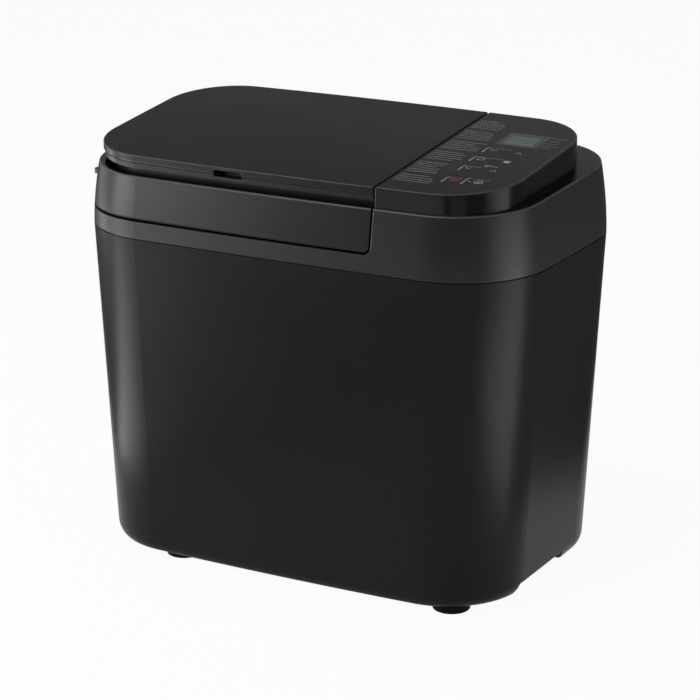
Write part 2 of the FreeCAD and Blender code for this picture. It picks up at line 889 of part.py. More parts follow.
def make_dispenser_box():
    x0, x1 = dispenser_left_x, dispenser_right_x
    y0, y1 = dispenser_front_y, dispenser_rear_y
    room = top_slab(-far, tray_under)
    walls = block(x0, x1, y0, y1, dispenser_bottom, far).common(room)
    skirt = dispenser_flange
    flange = block(x0 - skirt, x1 + skirt, y0 - skirt, y1 + skirt, dispenser_bottom, far)
    flange = flange.common(top_slab(tray_under - 2, tray_under))
    ears = []
    for near, side in ((x1, 1), (x0, -1)):
        inner = near - side * (dispenser_wall - 0.5)
        outer = near + side * (flap_ear_width + flap_gap)
        a0, a1 = sorted((inner, outer))
        b0, b1 = sorted((near + side * flap_gap, outer))
        ears.append(block(a0, a1, y1 - 14, y1 - 1, dispenser_bottom, flap_axis_z + 6))
        ears.append(block(b0, b1, y1 - 14, flap_axis_y + 4, flap_axis_z - 2.6, flap_axis_z + 5))
    t = dispenser_wall
    hollow = block(x0 + t, x1 - t, y0 + t, y1 - t, 0, far)
    bore = cross_rod(flap_pin_radius + hinge_running_clearance, x0 - 30, x1 + 30, flap_axis_y, flap_axis_z)
    return fuse([walls, flange] + ears).cut([hollow, bore])


parts["dispenser_box"] = make_dispenser_box()

lever_x = dispenser_left_x - solenoid_width / 2


def make_flap():
    x0 = dispenser_left_x + flap_side_gap
    x1 = dispenser_right_x - flap_side_gap
    top = dispenser_bottom - flap_gap
    leaf = block(x0, x1, dispenser_front_y + 1, flap_axis_y, top - flap_thickness, top)
    barrel = cross_rod(flap_barrel_radius, x0, x1, flap_axis_y, flap_axis_z)
    pin_left = lever_x - lever_width / 2
    pin_right = dispenser_right_x + flap_gap + flap_ear_width
    pin = cross_rod(flap_pin_radius, pin_left, pin_right, flap_axis_y, flap_axis_z)
    lever = block(
        pin_left, pin_left + lever_width, flap_axis_y - lever_reach - flap_pin_radius, flap_axis_y,
        flap_axis_z - lever_half_height, flap_axis_z + lever_half_height,
    )
    hub = cross_rod(flap_barrel_radius, pin_left, pin_left + lever_width, flap_axis_y, flap_axis_z)
    return fuse([leaf, barrel, pin, lever, hub])


parts["dispenser_flap"] = make_flap()

plunger_y = flap_axis_y - plunger_arm
solenoid_top = solenoid_bottom + solenoid_height
half_coil = solenoid_width / 2
coil = block(
    lever_x - half_coil, lever_x + half_coil, plunger_y - half_coil, plunger_y + half_coil,
    solenoid_bottom, solenoid_top,
)
parts["solenoid"] = coil.cut(
    post(plunger_radius + hinge_running_clearance, lever_x, plunger_y, solenoid_bottom - 1, solenoid_top + 1))
plunger_tip = flap_axis_z + lever_half_height + plunger_gap
head_low = solenoid_top + plunger_stroke + plunger_head_gap
head_top = head_low + plunger_head_height
parts["solenoid_plunger"] = fuse([
    post(plunger_radius, lever_x, plunger_y, plunger_tip, head_low),
    post(plunger_radius + plunger_head_lip, lever_x, plunger_y, head_low, head_top),
])


# Control panel

panel_column = plan_column.common(block(panel_left, far, -far, far, 0, far))
skin_under = -(overlay_thickness + panel_skin)
key_places = [(x, v) for v in key_rows for x in key_columns]
key_names = ("menu_down_key", "menu_up_key", "size_key", "crust_key",
             "timer_down_key", "timer_up_key", "stop_key", "start_key")


def key_hole(x, v, grow, low, high):
    half_x = key_width / 2 + grow
    half_v = key_depth / 2 + grow
    return on_top(rounded_block(x - half_x, x + half_x, v - half_v, v + half_v, low, high, 2.0 + grow))


def lcd_block(margin, low, high):
    return on_top(block(
        lcd_left_x - margin, lcd_left_x + lcd_width + margin,
        lcd_front_v - margin, lcd_front_v + lcd_depth + margin, low, high))


def panel_core(inset):
    ring = plan_ring(inset)
    return prism(ring, far).common(block(panel_left + inset, far, -far, far, 0, far))


overlay = panel_core(overlay_margin).common(top_slab(-overlay_thickness, 0))


def make_panel_housing():
    deck = tilted_above(rim_height, rim_tilt)
    solid = panel_column.common(deck).common(top_slab(-far, 0))
    edges = []
    for edge in solid.Edges:
        middle = edge.valueAt((edge.FirstParameter + edge.LastParameter) / 2)
        height = top_height + middle.y * math.tan(math.radians(top_tilt))
        if abs(middle.z - height) < 0.01:
            edges.append(edge)
    solid = solid.makeFillet(top_edge_radius, edges)
    room = panel_core(panel_wall).common(top_slab(-far, skin_under))
    shell = solid.cut([room, overlay])
    posts = [
        on_top(post(board_post_radius, x, v, board_top, skin_under + 0.5)) for x, v in board_screw_places
    ]
    cuts = [key_hole(x, v, key_clearance, skin_under - 1, 1) for x, v in key_places]
    cuts.append(lcd_block(-lcd_lip, skin_under - 1, 1))
    hole_top = board_top + panel_screw_bite + screw_tip_room / 2
    cuts += [on_top(post(screw_radius, x, v, board_top - 1, hole_top)) for x, v in board_screw_places]
    return fuse([shell] + posts).cut(cuts)


key_stem_end = skin_under - key_flange_gap - key_flange_thickness - key_stem_length
tact_top = key_stem_end - key_rest_gap
board_top = tact_top - tact_height
board_under = board_top - board_thickness
board_left = panel_left + panel_wall + control_board_margin
board_right = top_half_width - panel_wall - control_board_margin * 2.5
board_front = top_mid_y - top_half_depth + top_corner * 0.45
board_rear = top_mid_y + top_half_depth - top_corner * 0.6
board_screw_places = (
    (board_left + board_post_inset, board_front + board_post_inset),
    (board_left + board_post_inset, board_rear - board_post_inset),
    (board_right - board_post_radius, board_front + board_corner_inset),
    (board_right - board_post_radius, board_rear - board_post_radius),
)

parts["panel_housing"] = make_panel_housing()
parts["panel_overlay"] = overlay.cut(
    [key_hole(x, v, key_clearance, -2, 1) for x, v in key_places] + [lcd_block(0, -2, 1)])
parts["lcd_window"] = lcd_block(0, -overlay_thickness, 0)
parts["lcd_module"] = lcd_block(0, skin_under - lcd_module_thickness, skin_under)


def make_key(x, v):
    cap = key_hole(x, v, 0.0, skin_under - key_flange_gap, 0)
    low = skin_under - key_flange_gap - key_flange_thickness
    flange = key_hole(x, v, key_flange, low, skin_under - key_flange_gap)
    stem = on_top(post(key_stem_radius, x, v, key_stem_end, low))
    return fuse([cap, flange, stem])


for name, (x, v) in zip(key_names, key_places):
    parts[name] = make_key(x, v)

control_board = on_top(block(board_left, board_right, board_front, board_rear, board_under, board_top))
parts["control_board"] = control_board.cut(
    [on_top(post(screw_radius + screw_clearance, x, v, board_under - 1, board_top + 1))
     for x, v in board_screw_places])
half_tact = tact_width / 2
parts["tact_switches"] = Part.makeCompound([
    on_top(block(x - half_tact, x + half_tact, v - half_tact, v + half_tact, board_top, tact_top))
    for x, v in key_places
])


def board_screw(x, v):
    head = post(screw_head_radius, x, v, board_under - screw_head_height, board_under)
    shank = post(screw_radius, x, v, board_under, board_top + panel_screw_bite)
    return on_top(head.fuse(shank).removeSplitter())


parts["board_screws"] = Part.makeCompound([board_screw(x, v) for x, v in board_screw_places])


# Oven

def oven_prism(half_x, half_y, corner, z0, z1):
    return prism(box_ring(half_x, half_y, corner, oven_x, oven_y, z0), z1 - z0)


def make_heater_path():
    x, y, z = oven_x, oven_y, heater_height
    w, d, r, b = heater_half_width, heater_half_depth, heater_corner, heater_bend
    t = heater_terminal_y
    outer = x + chamber_half_width + heater_lead

    def arc(centre, radius, start, end):
        turns = [math.radians(a) for a in (start, (start + end) / 2, end)]
        return [centre + Vector(radius * math.cos(a), radius * math.sin(a), 0) for a in turns]

    bends = [
        arc(Vector(x + w + b, y - t - b, z), b, 90, 180),
        arc(Vector(x + w - r, y - d + r, z), r, 0, -90),
        arc(Vector(x - w + r, y - d + r, z), r, 270, 180),
        arc(Vector(x - w + r, y + d - r, z), r, 180, 90),
        arc(Vector(x + w - r, y + d - r, z), r, 90, 0),
        arc(Vector(x + w + b, y + t + b, z), b, 180, 270),
    ]
    stops = [Vector(outer, y - t, z)]
    edges = []
    for bend in bends:
        edges.append(Part.LineSegment(stops[-1], bend[0]).toShape())
        edges.append(Part.Arc(*bend).toShape())
        stops.append(bend[2])
    edges.append(Part.LineSegment(stops[-1], Vector(outer, y + t, z)).toShape())
    return Part.Wire(edges)


def heater_tube(radius):
    path = make_heater_path()
    start = path.OrderedVertexes[0].Point
    ring = Part.Wire([Part.makeCircle(radius, start, Vector(1, 0, 0))])
    return path.makePipeShell([ring], True, False)


heater = heater_tube(heater_radius)
parts["heater_element"] = heater


def make_chamber():
    s = chamber_sheet
    w, d, c = chamber_half_width, chamber_half_depth, chamber_corner
    top = landing_height + s
    g = chamber_slip
    tub = oven_prism(w - g, d - g, c - g, chamber_floor - s, top)
    tub = tub.cut(oven_prism(w - g - s, d - g - s, c - g - s, chamber_floor, top + 1))
    f = chamber_flange
    flange = oven_prism(w + f, d + f, c + f, landing_height, top)
    flange = flange.cut(oven_prism(w - 2 * g, d - 2 * g, c - 2 * g, landing_height - 1, top + 1))
    hub_hole = housing_radius + chamber_hole_clearance
    cuts = [post(hub_hole, oven_x, oven_y, chamber_floor - 2 * s, chamber_floor + s)]
    for side in (1, -1):
        y = oven_y + side * heater_terminal_y
        start = Vector(oven_x, y, heater_height)
        end = start + Vector(chamber_half_width * 2, 0, 0)
        cuts.append(rod(heater_radius + chamber_hole_clearance, start, end))
    hole = Vector(sensor_x, oven_y, sensor_height)
    far_hole = hole + Vector(0, chamber_half_depth * 2, 0)
    cuts.append(rod(sensor_radius + chamber_hole_clearance, hole, far_hole))
    return tub.fuse(flange).removeSplitter().cut(cuts)


sensor_x = oven_x - sensor_offset
parts["baking_chamber"] = make_chamber()

sensor_face = oven_y + chamber_half_depth - chamber_slip
sensor_tip = Vector(sensor_x, sensor_face - sensor_length, sensor_height)
sensor_seat = Vector(sensor_x, sensor_face, sensor_height)
sensor_end = sensor_seat + Vector(0, sensor_tail, 0)
sensor_nut = rod(sensor_radius + sensor_collar, sensor_seat, sensor_seat + Vector(0, sensor_collar, 0))
parts["temperature_sensor"] = rod(sensor_radius, sensor_tip, sensor_end).fuse(sensor_nut).removeSplitter()


def make_heater_clips():
    half = clip_width / 2
    places = (
        (oven_x, oven_y - heater_half_depth), (oven_x, oven_y + heater_half_depth),
        (oven_x - heater_half_width, oven_y),
    )
    groove = heater_tube(heater_radius + clip_clearance)
    clips = []
    for x, y in places:
        clips.append(block(x - half, x + half, y - half, y + half, chamber_floor, heater_height).cut(groove))
    return Part.makeCompound(clips)


parts["heater_clips"] = make_heater_clips()

seat_inner = pan_skirt_radius + seat_clearance
seat_top = chamber_floor + seat_height
parts["pan_seat"] = post(seat_inner + seat_wall, oven_x, oven_y, chamber_floor, seat_top).cut(
    post(seat_inner, oven_x, oven_y, chamber_floor - 1, seat_top + 1))


# Pan

handle_z = pan_rim + handle_pivot_rise


def pan_loft(grow, z0, z1):
    low = box_ring(pan_half_width - pan_draft + grow, pan_half_depth - pan_draft + grow,
                   pan_corner + grow, oven_x, oven_y, z0)
    high = box_ring(pan_half_width + grow, pan_half_depth + grow, pan_corner + grow, oven_x, oven_y, z1)
    return Part.makeLoft([low, high], True, True)


def make_pan():
    tub = pan_loft(0.0, pan_floor, pan_rim).cut(pan_loft(-pan_wall, pan_floor + pan_wall, pan_rim + 0.01))
    rim_low = pan_rim - pan_rim_height
    lip = pan_rim_lip
    rim = oven_prism(pan_half_width + lip, pan_half_depth + lip, pan_corner + lip, rim_low, pan_rim)
    rim = rim.cut(pan_loft(-pan_wall, pan_floor + pan_wall, pan_rim + 0.01))
    skirt = post(pan_skirt_radius, oven_x, oven_y, chamber_floor + pan_rest_gap, pan_floor + 0.5)
    inner = pan_skirt_radius - pan_skirt_wall
    skirt = skirt.cut(post(inner, oven_x, oven_y, chamber_floor, pan_floor + 1))
    ears = []
    for side in (1, -1):
        near = oven_x + side * (pan_half_width - 0.5)
        x0, x1 = sorted((near, near + side * ear_thickness))
        half = ear_half_width
        ears.append(block(x0, x1, oven_y - half, oven_y + half, pan_rim - ear_depth, handle_z))
        ears.append(cross_rod(ear_half_width, x0, x1, oven_y, handle_z))
    cuts = [post(pan_bearing_radius, oven_x, oven_y, pan_floor - 1, pan_floor + pan_wall + 1)]
    pin = handle_pin_radius + handle_pin_clearance
    cuts.append(cross_rod(pin, oven_x - pan_half_width - 20, oven_x + pan_half_width + 20, oven_y, handle_z))
    return fuse([tub, rim, skirt] + ears).cut(cuts)


parts["bread_pan"] = make_pan()


def make_handle():
    # A bail that lies forward over the pan, on pins in the pan's two ears.
    arm_x = pan_half_width + ear_thickness + handle_side_gap
    front = oven_y - handle_reach
    rear = oven_y + handle_tail
    bend = handle_bend
    pieces = []
    edges = []
    left, right = oven_x - arm_x, oven_x + arm_x
    z = handle_z
    corner = bend * (1 - math.sqrt(0.5))
    edges.append(Part.LineSegment(Vector(right, rear, z), Vector(right, front + bend, z)).toShape())
    edges.append(Part.Arc(
        Vector(right, front + bend, z),
        Vector(right - corner, front + corner, z),
        Vector(right - bend, front, z),
    ).toShape())
    edges.append(Part.LineSegment(Vector(right - bend, front, z), Vector(left + bend, front, z)).toShape())
    edges.append(Part.Arc(
        Vector(left + bend, front, z),
        Vector(left + corner, front + corner, z),
        Vector(left, front + bend, z),
    ).toShape())
    edges.append(Part.LineSegment(Vector(left, front + bend, z), Vector(left, rear, z)).toShape())
    path = Part.Wire(edges)
    ring = Part.Wire([Part.makeCircle(handle_wire_radius, Vector(right, rear, z), Vector(0, 1, 0))])
    pieces.append(path.makePipeShell([ring], True, False))
    for side in (1, -1):
        outer = oven_x + side * arm_x
        inner = oven_x + side * (pan_half_width - handle_side_gap)
        pieces.append(cross_rod(handle_pin_radius, min(outer, inner), max(outer, inner), oven_y, z))
    return fuse(pieces)


parts["pan_handle"] = make_handle()

dog_top = chamber_floor + housing_proud + dog_gap + dog_thickness
pan_dog_low = dog_top + dog_lug_height + dog_gap
pan_dog_top = pan_dog_low + dog_thickness
bearing_top = pan_floor + pan_wall + pan_bearing_rise
parts["pan_bearing"] = fuse([
    post(pan_bearing_flange, oven_x, oven_y, pan_dog_top + dog_gap, pan_floor),
    post(pan_bearing_radius, oven_x, oven_y, pan_floor, bearing_top),
]).cut(post(pan_shaft_radius + shaft_clearance, oven_x, oven_y, pan_floor - 20, bearing_top + 1))


def dog_lugs(z0, z1, turn):
    lugs = []
    for side in (1, -1):
        lug = block(dog_lug_start, dog_radius, -dog_lug_half, dog_lug_half, z0, z1)
        lug.rotate(Vector(0, 0, 0), Vector(0, 0, 1), turn + (0 if side > 0 else 180))
        lug.translate(Vector(oven_x, oven_y, 0))
        lugs.append(lug)
    return lugs


blade_low = bearing_top + blade_gap
blade_top = blade_low + blade_hub_height
parts["pan_shaft"] = fuse([
    post(pan_shaft_radius, oven_x, oven_y, pan_dog_low, blade_top - blade_cap),
    post(dog_radius, oven_x, oven_y, pan_dog_low, pan_dog_top),
] + dog_lugs(pan_dog_low - dog_lug_height, pan_dog_low, 90))


def make_blade():
    hub = post(blade_hub_radius, oven_x, oven_y, blade_low, blade_top)
    base = blade_low + 1
    outline = [
        Vector(0, 0, base),
        Vector(blade_length, 0, base),
        Vector(blade_length * 0.9, 0, base + blade_height * 0.55),
        Vector(blade_length * 0.64, 0, base + blade_height * 0.9),
        Vector(blade_hub_radius, 0, blade_top - 1),
        Vector(0, 0, blade_top - 1),
    ]
    fin = Part.Face(Part.makePolygon(outline + outline[:1])).extrude(Vector(0, blade_thickness, 0))
    fin.translate(Vector(oven_x, oven_y - blade_thickness / 2, 0))
    return fuse([hub, fin]).cut(post(pan_shaft_radius, oven_x, oven_y, blade_low - 1, blade_top - blade_cap))


parts["kneading_blade"] = make_blade()


# Base, frame and drive

frame_front_y = post_front_y - frame_margin
frame_rear_y = post_rear_y + frame_margin
frame_left_x = post_left_x - frame_margin
frame_right_x = motor_x + motor_half_width + frame_motor_margin
frame_top = frame_height + frame_thickness
power_board_right_x = base_half_width - power_board_inset
power_board_left_x = power_board_right_x - power_board_length
power_board_front_y = frame_rear_y + power_board_gap
power_board_rear_y = power_board_front_y + power_board_width
base_top = floor_top + base_thickness
board_post_places = [
    (x, y)
    for x in (power_board_left_x + power_screw_inset_x, power_board_right_x - power_screw_inset_x)
    for y in (power_board_front_y + power_screw_inset_y, power_board_rear_y - power_screw_inset_y)
]


def make_base():
    plate = rounded_block(
        -base_half_width, base_half_width, -base_half_depth, base_half_depth,
        floor_top, base_top, base_corner,
    )
    posts = [post(post_radius, x, y, base_top - 0.5, frame_height) for x, y in post_places]
    posts += [post(post_radius - 1.5, x, y, base_top - 0.5, power_board_height) for x, y in board_post_places]
    cuts = [post(screw_radius + screw_clearance, x, y, 0, base_top + 1) for x, y in base_screw_places]
    hole_low = frame_height - frame_screw_bite - screw_tip_room
    cuts += [post(screw_radius, x, y, hole_low, frame_height + 1) for x, y in post_places]
    board_z = power_board_height
    cuts += [post(screw_radius, x, y, board_z - board_post_inset, board_z + 1) for x, y in board_post_places]
    return fuse([plate] + posts).cut(cuts)


parts["base_plate"] = make_base()


def make_feet():
    feet = []
    for x, y in foot_places:
        pad = post(foot_radius, x, y, -datum_height, underside_height + foot_edge_height)
        low = [edge for edge in pad.Edges if edge.BoundBox.ZMax < 0]
        pad = pad.makeFillet(foot_edge_radius, low).cut(case_outside)
        pad = max(pad.Solids, key=lambda solid: solid.Volume)
        feet.append(pad.fuse(post(foot_stem_radius, x, y, underside_height - 1, floor_top)).removeSplitter())
    return Part.makeCompound(feet)


parts["feet"] = make_feet()
parts["base_screws"] = Part.makeCompound([
    screw(x, y, underside_height, case_wall + base_thickness, 1) for x, y in base_screw_places
])


def make_frame():
    plate = rounded_block(
        frame_left_x, frame_right_x, frame_front_y, frame_rear_y, frame_height, frame_top, post_radius)
    cuts = [post(frame_shaft_hole, oven_x, oven_y, 0, far), post(frame_motor_hole, motor_x, oven_y, 0, far)]
    cuts += [post(screw_radius + screw_clearance, x, y, 0, far) for x, y in post_places]
    cuts += [post(motor_bolt_radius + screw_clearance, x, y, 0, far) for x, y in motor_bolt_places]
    return plate.cut(cuts)


bolt_reach = motor_half_width - motor_bolt_inset
motor_bolt_places = [
    (motor_x + a * bolt_reach, oven_y + b * bolt_reach) for a in (1, -1) for b in (1, -1)
]
parts["drive_frame"] = make_frame()
parts["frame_screws"] = Part.makeCompound([
    screw(x, y, frame_top, frame_thickness + frame_screw_bite, -1) for x, y in post_places
])

stator_low = frame_top + bracket_thickness
stator_top = stator_low + stator_height
bracket_top = stator_top + bracket_thickness


def motor_block(z0, z1, bore):
    h = motor_half_width
    solid = rounded_block(motor_x - h, motor_x + h, oven_y - h, oven_y + h, z0, z1, motor_corner)
    holes = [post(bore, motor_x, oven_y, z0 - 1, z1 + 1)]
    holes += [post(motor_bolt_radius + screw_clearance, x, y, z0 - 1, z1 + 1) for x, y in motor_bolt_places]
    return solid.cut(holes)


parts["motor_stator"] = motor_block(stator_low, stator_top, rotor_radius + rotor_gap)
running_bore = motor_shaft_radius + shaft_clearance
parts["motor_brackets"] = Part.makeCompound([
    motor_block(frame_top, stator_low, running_bore), motor_block(stator_top, bracket_top, running_bore)])


def motor_bolt(x, y):
    shank = post(motor_bolt_radius, x, y, frame_height - bolt_tail, bracket_top)
    head = post(motor_bolt_radius * 2, x, y, bracket_top, bracket_top + bolt_head_height)
    return shank.fuse(head).removeSplitter()


parts["motor_bolts"] = Part.makeCompound([motor_bolt(x, y) for x, y in motor_bolt_places])
parts["motor_rotor"] = fuse([
    post(motor_shaft_radius, motor_x, oven_y, pulley_bottom - 2, bracket_top + 4),
    post(rotor_radius, motor_x, oven_y, stator_low + 1, stator_top - 1),
])


def make_pulley(radius, x, shaft):
    top = pulley_bottom + pulley_width
    rim = (pulley_width - belt_width) / 2 - 1
    body = fuse([
        post(radius, x, oven_y, pulley_bottom, top),
        post(radius + pulley_flange, x, oven_y, pulley_bottom, pulley_bottom + rim),
        post(radius + pulley_flange, x, oven_y, top - rim, top),
    ])
    return body.cut(post(shaft, x, oven_y, pulley_bottom - 1, top + 1))


def make_drive_pulley():
    wheel = make_pulley(pulley_radius, oven_x, drive_shaft_radius)
    holes = []
    for index in range(pulley_hole_count):
        angle = 2 * math.pi * index / pulley_hole_count
        x = oven_x + pulley_hole_circle * math.cos(angle)
        y = oven_y + pulley_hole_circle * math.sin(angle)
        holes.append(post(pulley_hole_radius, x, y, 0, far))
    return wheel.cut(holes)


parts["motor_pulley"] = make_pulley(motor_pulley_radius, motor_x, motor_shaft_radius)
parts["drive_pulley"] = make_drive_pulley()


def belt_loop(grow):
    # Two arcs and the straight runs that touch them both.
    big = pulley_radius + belt_clearance + grow
    small = motor_pulley_radius + belt_clearance + grow
    lean = math.asin((big - small) / (motor_x - oven_x))

    def touch(x, radius, side):
        return Vector(x + radius * math.sin(lean), oven_y + side * radius * math.cos(lean), 0)

    ends = [
        touch(oven_x, big, 1), touch(oven_x, big, -1),
        touch(motor_x, small, -1), touch(motor_x, small, 1),
    ]
    wire = Part.Wire([
        Part.Arc(ends[0], Vector(oven_x - big, oven_y, 0), ends[1]).toShape(),
        Part.LineSegment(ends[1], ends[2]).toShape(),
        Part.Arc(ends[2], Vector(motor_x + small, oven_y, 0), ends[3]).toShape(),
        Part.LineSegment(ends[3], ends[0]).toShape(),
    ])
    wire.translate(Vector(0, 0, pulley_bottom + (pulley_width - belt_width) / 2))
    return prism(wire, belt_width)


parts["drive_belt"] = belt_loop(belt_thickness).cut(belt_loop(0.0))

housing_top = chamber_floor + housing_proud
shaft_low = pulley_bottom - nut_height - shaft_tail
parts["bearing_housing"] = fuse([
    post(housing_flange_radius, oven_x, oven_y, frame_top, frame_top + housing_flange_thickness),
    post(housing_radius, oven_x, oven_y, frame_top, housing_top),
]).cut([
    post(bush_radius, oven_x, oven_y, frame_top - 1, frame_top + bush_length),
    post(drive_shaft_radius + 1.5, oven_x, oven_y, frame_top, far),
    post(bush_radius, oven_x, oven_y, housing_top - bush_length, housing_top + 1),
])


def bush(z0):
    return post(bush_radius, oven_x, oven_y, z0, z0 + bush_length).cut(
        post(drive_shaft_radius + shaft_clearance, oven_x, oven_y, z0 - 1, z0 + bush_length + 1))


parts["bearing_bushes"] = Part.makeCompound([bush(frame_top), bush(housing_top - bush_length)])
parts["drive_shaft"] = fuse([
    post(drive_shaft_radius, oven_x, oven_y, shaft_low, dog_top),
    post(dog_radius, oven_x, oven_y, dog_top - dog_thickness, dog_top),
] + dog_lugs(dog_top, dog_top + dog_lug_height, 0))
nut_low = pulley_bottom - nut_height
nut = Part.Face(Part.makePolygon([
    Vector(oven_x + nut_radius * math.cos(angle), oven_y + nut_radius * math.sin(angle), nut_low)
    for angle in [math.radians(60 * step) for step in range(7)]
])).extrude(Vector(0, 0, nut_height))
parts["pulley_nut"] = nut.cut(post(drive_shaft_radius, oven_x, oven_y, nut_low - 1, pulley_bottom + 1))


# Electrics

board_z = power_board_height
board_face = board_z + board_thickness
parts["power_board"] = block(
    power_board_left_x, power_board_right_x, power_board_front_y, power_board_rear_y, board_z, board_face,
).cut([post(screw_radius + screw_clearance, x, y, board_z - 1, board_face + 1) for x, y in board_post_places])
board_mid_y = (power_board_front_y + power_board_rear_y) / 2
transformer_right = power_board_right_x - transformer_inset
relay_left = power_board_left_x + relay_inset
capacitor_x = power_board_left_x + capacitor_inset
parts["board_components"] = Part.makeCompound([
    post(capacitor_radius, capacitor_x, board_mid_y, board_face, board_face + capacitor_height),
    block(
        transformer_right - transformer_width, transformer_right,
        board_mid_y - transformer_depth / 2, board_mid_y + transformer_depth / 2,
        board_face, board_face + transformer_height,
    ),
    block(
        relay_left, relay_left + relay_width, board_mid_y - relay_depth / 2, board_mid_y + relay_depth / 2,
        board_face, board_face + relay_height,
    ),
])
parts["power_board_screws"] = Part.makeCompound([
    screw(x, y, board_face, board_thickness + board_screw_bite, -1) for x, y in board_post_places
])

gland_radius = gland_bore + gland_wall
gland_seat = wall_y_at(gland_z) - front_bow * (gland_x / seam_half_width) ** 2


def gland_rod(radius, inward, outward):
    start = Vector(gland_x, gland_seat - inward, gland_z)
    return rod(radius, start, Vector(gland_x, gland_seat + outward, gland_z))


gland_in = case_wall + gland_flange_thickness + gland_seat_gap
gland_out = gland_flange_thickness + gland_seat_gap
parts["cord_gland"] = fuse([
    gland_rod(gland_radius - gland_fit, gland_in, gland_out),
    gland_rod(gland_radius + gland_flange, -gland_seat_gap, gland_out),
    gland_rod(gland_radius + gland_flange, gland_in, -(case_wall + gland_seat_gap)),
]).cut(gland_rod(gland_bore, gland_in + 1, gland_out + 1))

os.makedirs("parts", exist_ok=True)
for name, shape in parts.items():
    shape.translate(Vector(0, 0, datum_height))
    solids = len(shape.Solids)
    print(f"{name}: {solids} solid(s), {shape.Volume / 1000:.1f} cm3, valid {shape.isValid()}")
    shape.exportStep(f"parts/{name}.step")
print(len(parts), "nodes")
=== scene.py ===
import math
import random

import bmesh
import bpy
from mathutils import Matrix, Vector


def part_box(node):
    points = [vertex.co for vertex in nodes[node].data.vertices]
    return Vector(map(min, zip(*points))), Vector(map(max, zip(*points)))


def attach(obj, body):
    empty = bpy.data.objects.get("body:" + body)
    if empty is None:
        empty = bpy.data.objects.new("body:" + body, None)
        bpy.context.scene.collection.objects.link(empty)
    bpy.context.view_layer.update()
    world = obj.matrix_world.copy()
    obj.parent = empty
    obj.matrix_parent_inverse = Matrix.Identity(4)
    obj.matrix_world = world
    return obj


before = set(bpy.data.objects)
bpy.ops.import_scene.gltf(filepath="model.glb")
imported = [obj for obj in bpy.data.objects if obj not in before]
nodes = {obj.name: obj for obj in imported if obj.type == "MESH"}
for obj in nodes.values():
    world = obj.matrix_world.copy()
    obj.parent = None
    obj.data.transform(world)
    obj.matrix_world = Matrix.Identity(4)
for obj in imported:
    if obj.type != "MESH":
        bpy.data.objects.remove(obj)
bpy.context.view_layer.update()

print("frame loaded:", len(nodes), "pieces")

# what all finishes share
finish = {
    "fleckSpan": (0.38, 0.66),  # stretch of the grain's noise over which the second tone comes in
    "shineSpan": (0.3, 0.7),  # stretch of the slow noise over which the shine drifts
    "wornSpan": (0.985, 0.82),  # cosine between rounded and flat normal: from none to full edge wear and painted highlight
    "wornFadeMm": 2.0,  # height over which the painted edge highlight comes in
    "crownRise": (0.28, 0.5), "crownFall": (0.985, 0.93),  # how level a rounded upper edge lies, 1 is flat
    "bumpDepth": 0.3,  # share of the grain's width
}
waveTurn = 2 * math.pi / 20  # the wave texture runs through 20 radians in one unit of its scale


def hexColour(code):
    # sRGB hex to the linear values that the shader wants
    parts = [int(code[i:i + 2], 16) / 255 for i in (1, 3, 5)]
    return tuple(c / 12.92 if c <= 0.04045 else ((c + 0.055) / 1.055) ** 2.4 for c in parts) + (1.0,)


def addNode(tree, kind, values=None, links=None, **settings):
    node = tree.nodes.new(kind)
    for name, value in settings.items():
        setattr(node, name, value)
    for socket, value in (values or {}).items():
        node.inputs[socket].default_value = value
    for socket, source in (links or {}).items():
        tree.links.new(source, node.inputs[socket])
    return node


def perMetre(millimetres):
    # how many pattern repeats of that size fit in a metre
    return 1000.0 / millimetres


def overlay(made, source, colour, roughness=None, span=(0, 1), strength=1.0):
    # lays a second colour, and its own shine, over the finish where the source runs through the span
    tree, shader = made["tree"], made["shader"]
    mask = addNode(
        tree, "ShaderNodeMapRange", {"From Min": span[0], "From Max": span[1], "To Max": strength},
        {"Value": source}).outputs[0]
    made["colour"] = addNode(
        tree, "ShaderNodeMix", {7: hexColour(colour)}, {0: mask, 6: made["colour"]},
        data_type="RGBA").outputs[2]
    tree.links.new(made["colour"], shader.inputs["Base Color"])
    if roughness is not None:
        made["shine"] = addNode(
            tree, "ShaderNodeMix", {3: roughness}, {0: mask, 2: made["shine"]}, data_type="FLOAT").outputs[0]
        tree.links.new(made["shine"], shader.inputs["Roughness"])


def wearAndHighlightEdges(made, look):
    # the small radius that tooling leaves on every edge, and a paler line along it, partly wear and partly
    # painted highlight, strongest on the black mouldings
    tree = made["tree"]
    rounded = addNode(tree, "ShaderNodeBevel", {"Radius": look["edgeMm"] / 1000}, samples=6).outputs[0]
    flat = addNode(tree, "ShaderNodeNewGeometry").outputs["Normal"]
    along = addNode(tree, "ShaderNodeVectorMath", None, {0: rounded, 1: flat}, operation="DOT_PRODUCT")
    unworn, full = finish["wornSpan"]
    worn = addNode(
        tree, "ShaderNodeMapRange", {"From Min": unworn, "From Max": full},
        {"Value": along.outputs["Value"]}).outputs[0]
    if "highlightAboveMm" in look:
        # lower down the painted highlight is left off, so the seam under the lid's skirt is not lit
        start, end = (look["highlightAboveMm"] + fade for fade in (0, finish["wornFadeMm"]))
        height = addNode(tree, "ShaderNodeSeparateXYZ", None, {"Vector": made["place"]}).outputs["Z"]
        aboveSeam = addNode(
            tree, "ShaderNodeMapRange", {"From Min": start / 1000, "From Max": end / 1000},
            {"Value": height})
        worn = addNode(
            tree, "ShaderNodeMath", None, {0: worn, 1: aboveSeam.outputs[0]}, operation="MULTIPLY").outputs[0]
    overlay(made, worn, look["edgeWearAndHighlightTone"], strength=look["edgeWearAndHighlight"])
    return rounded


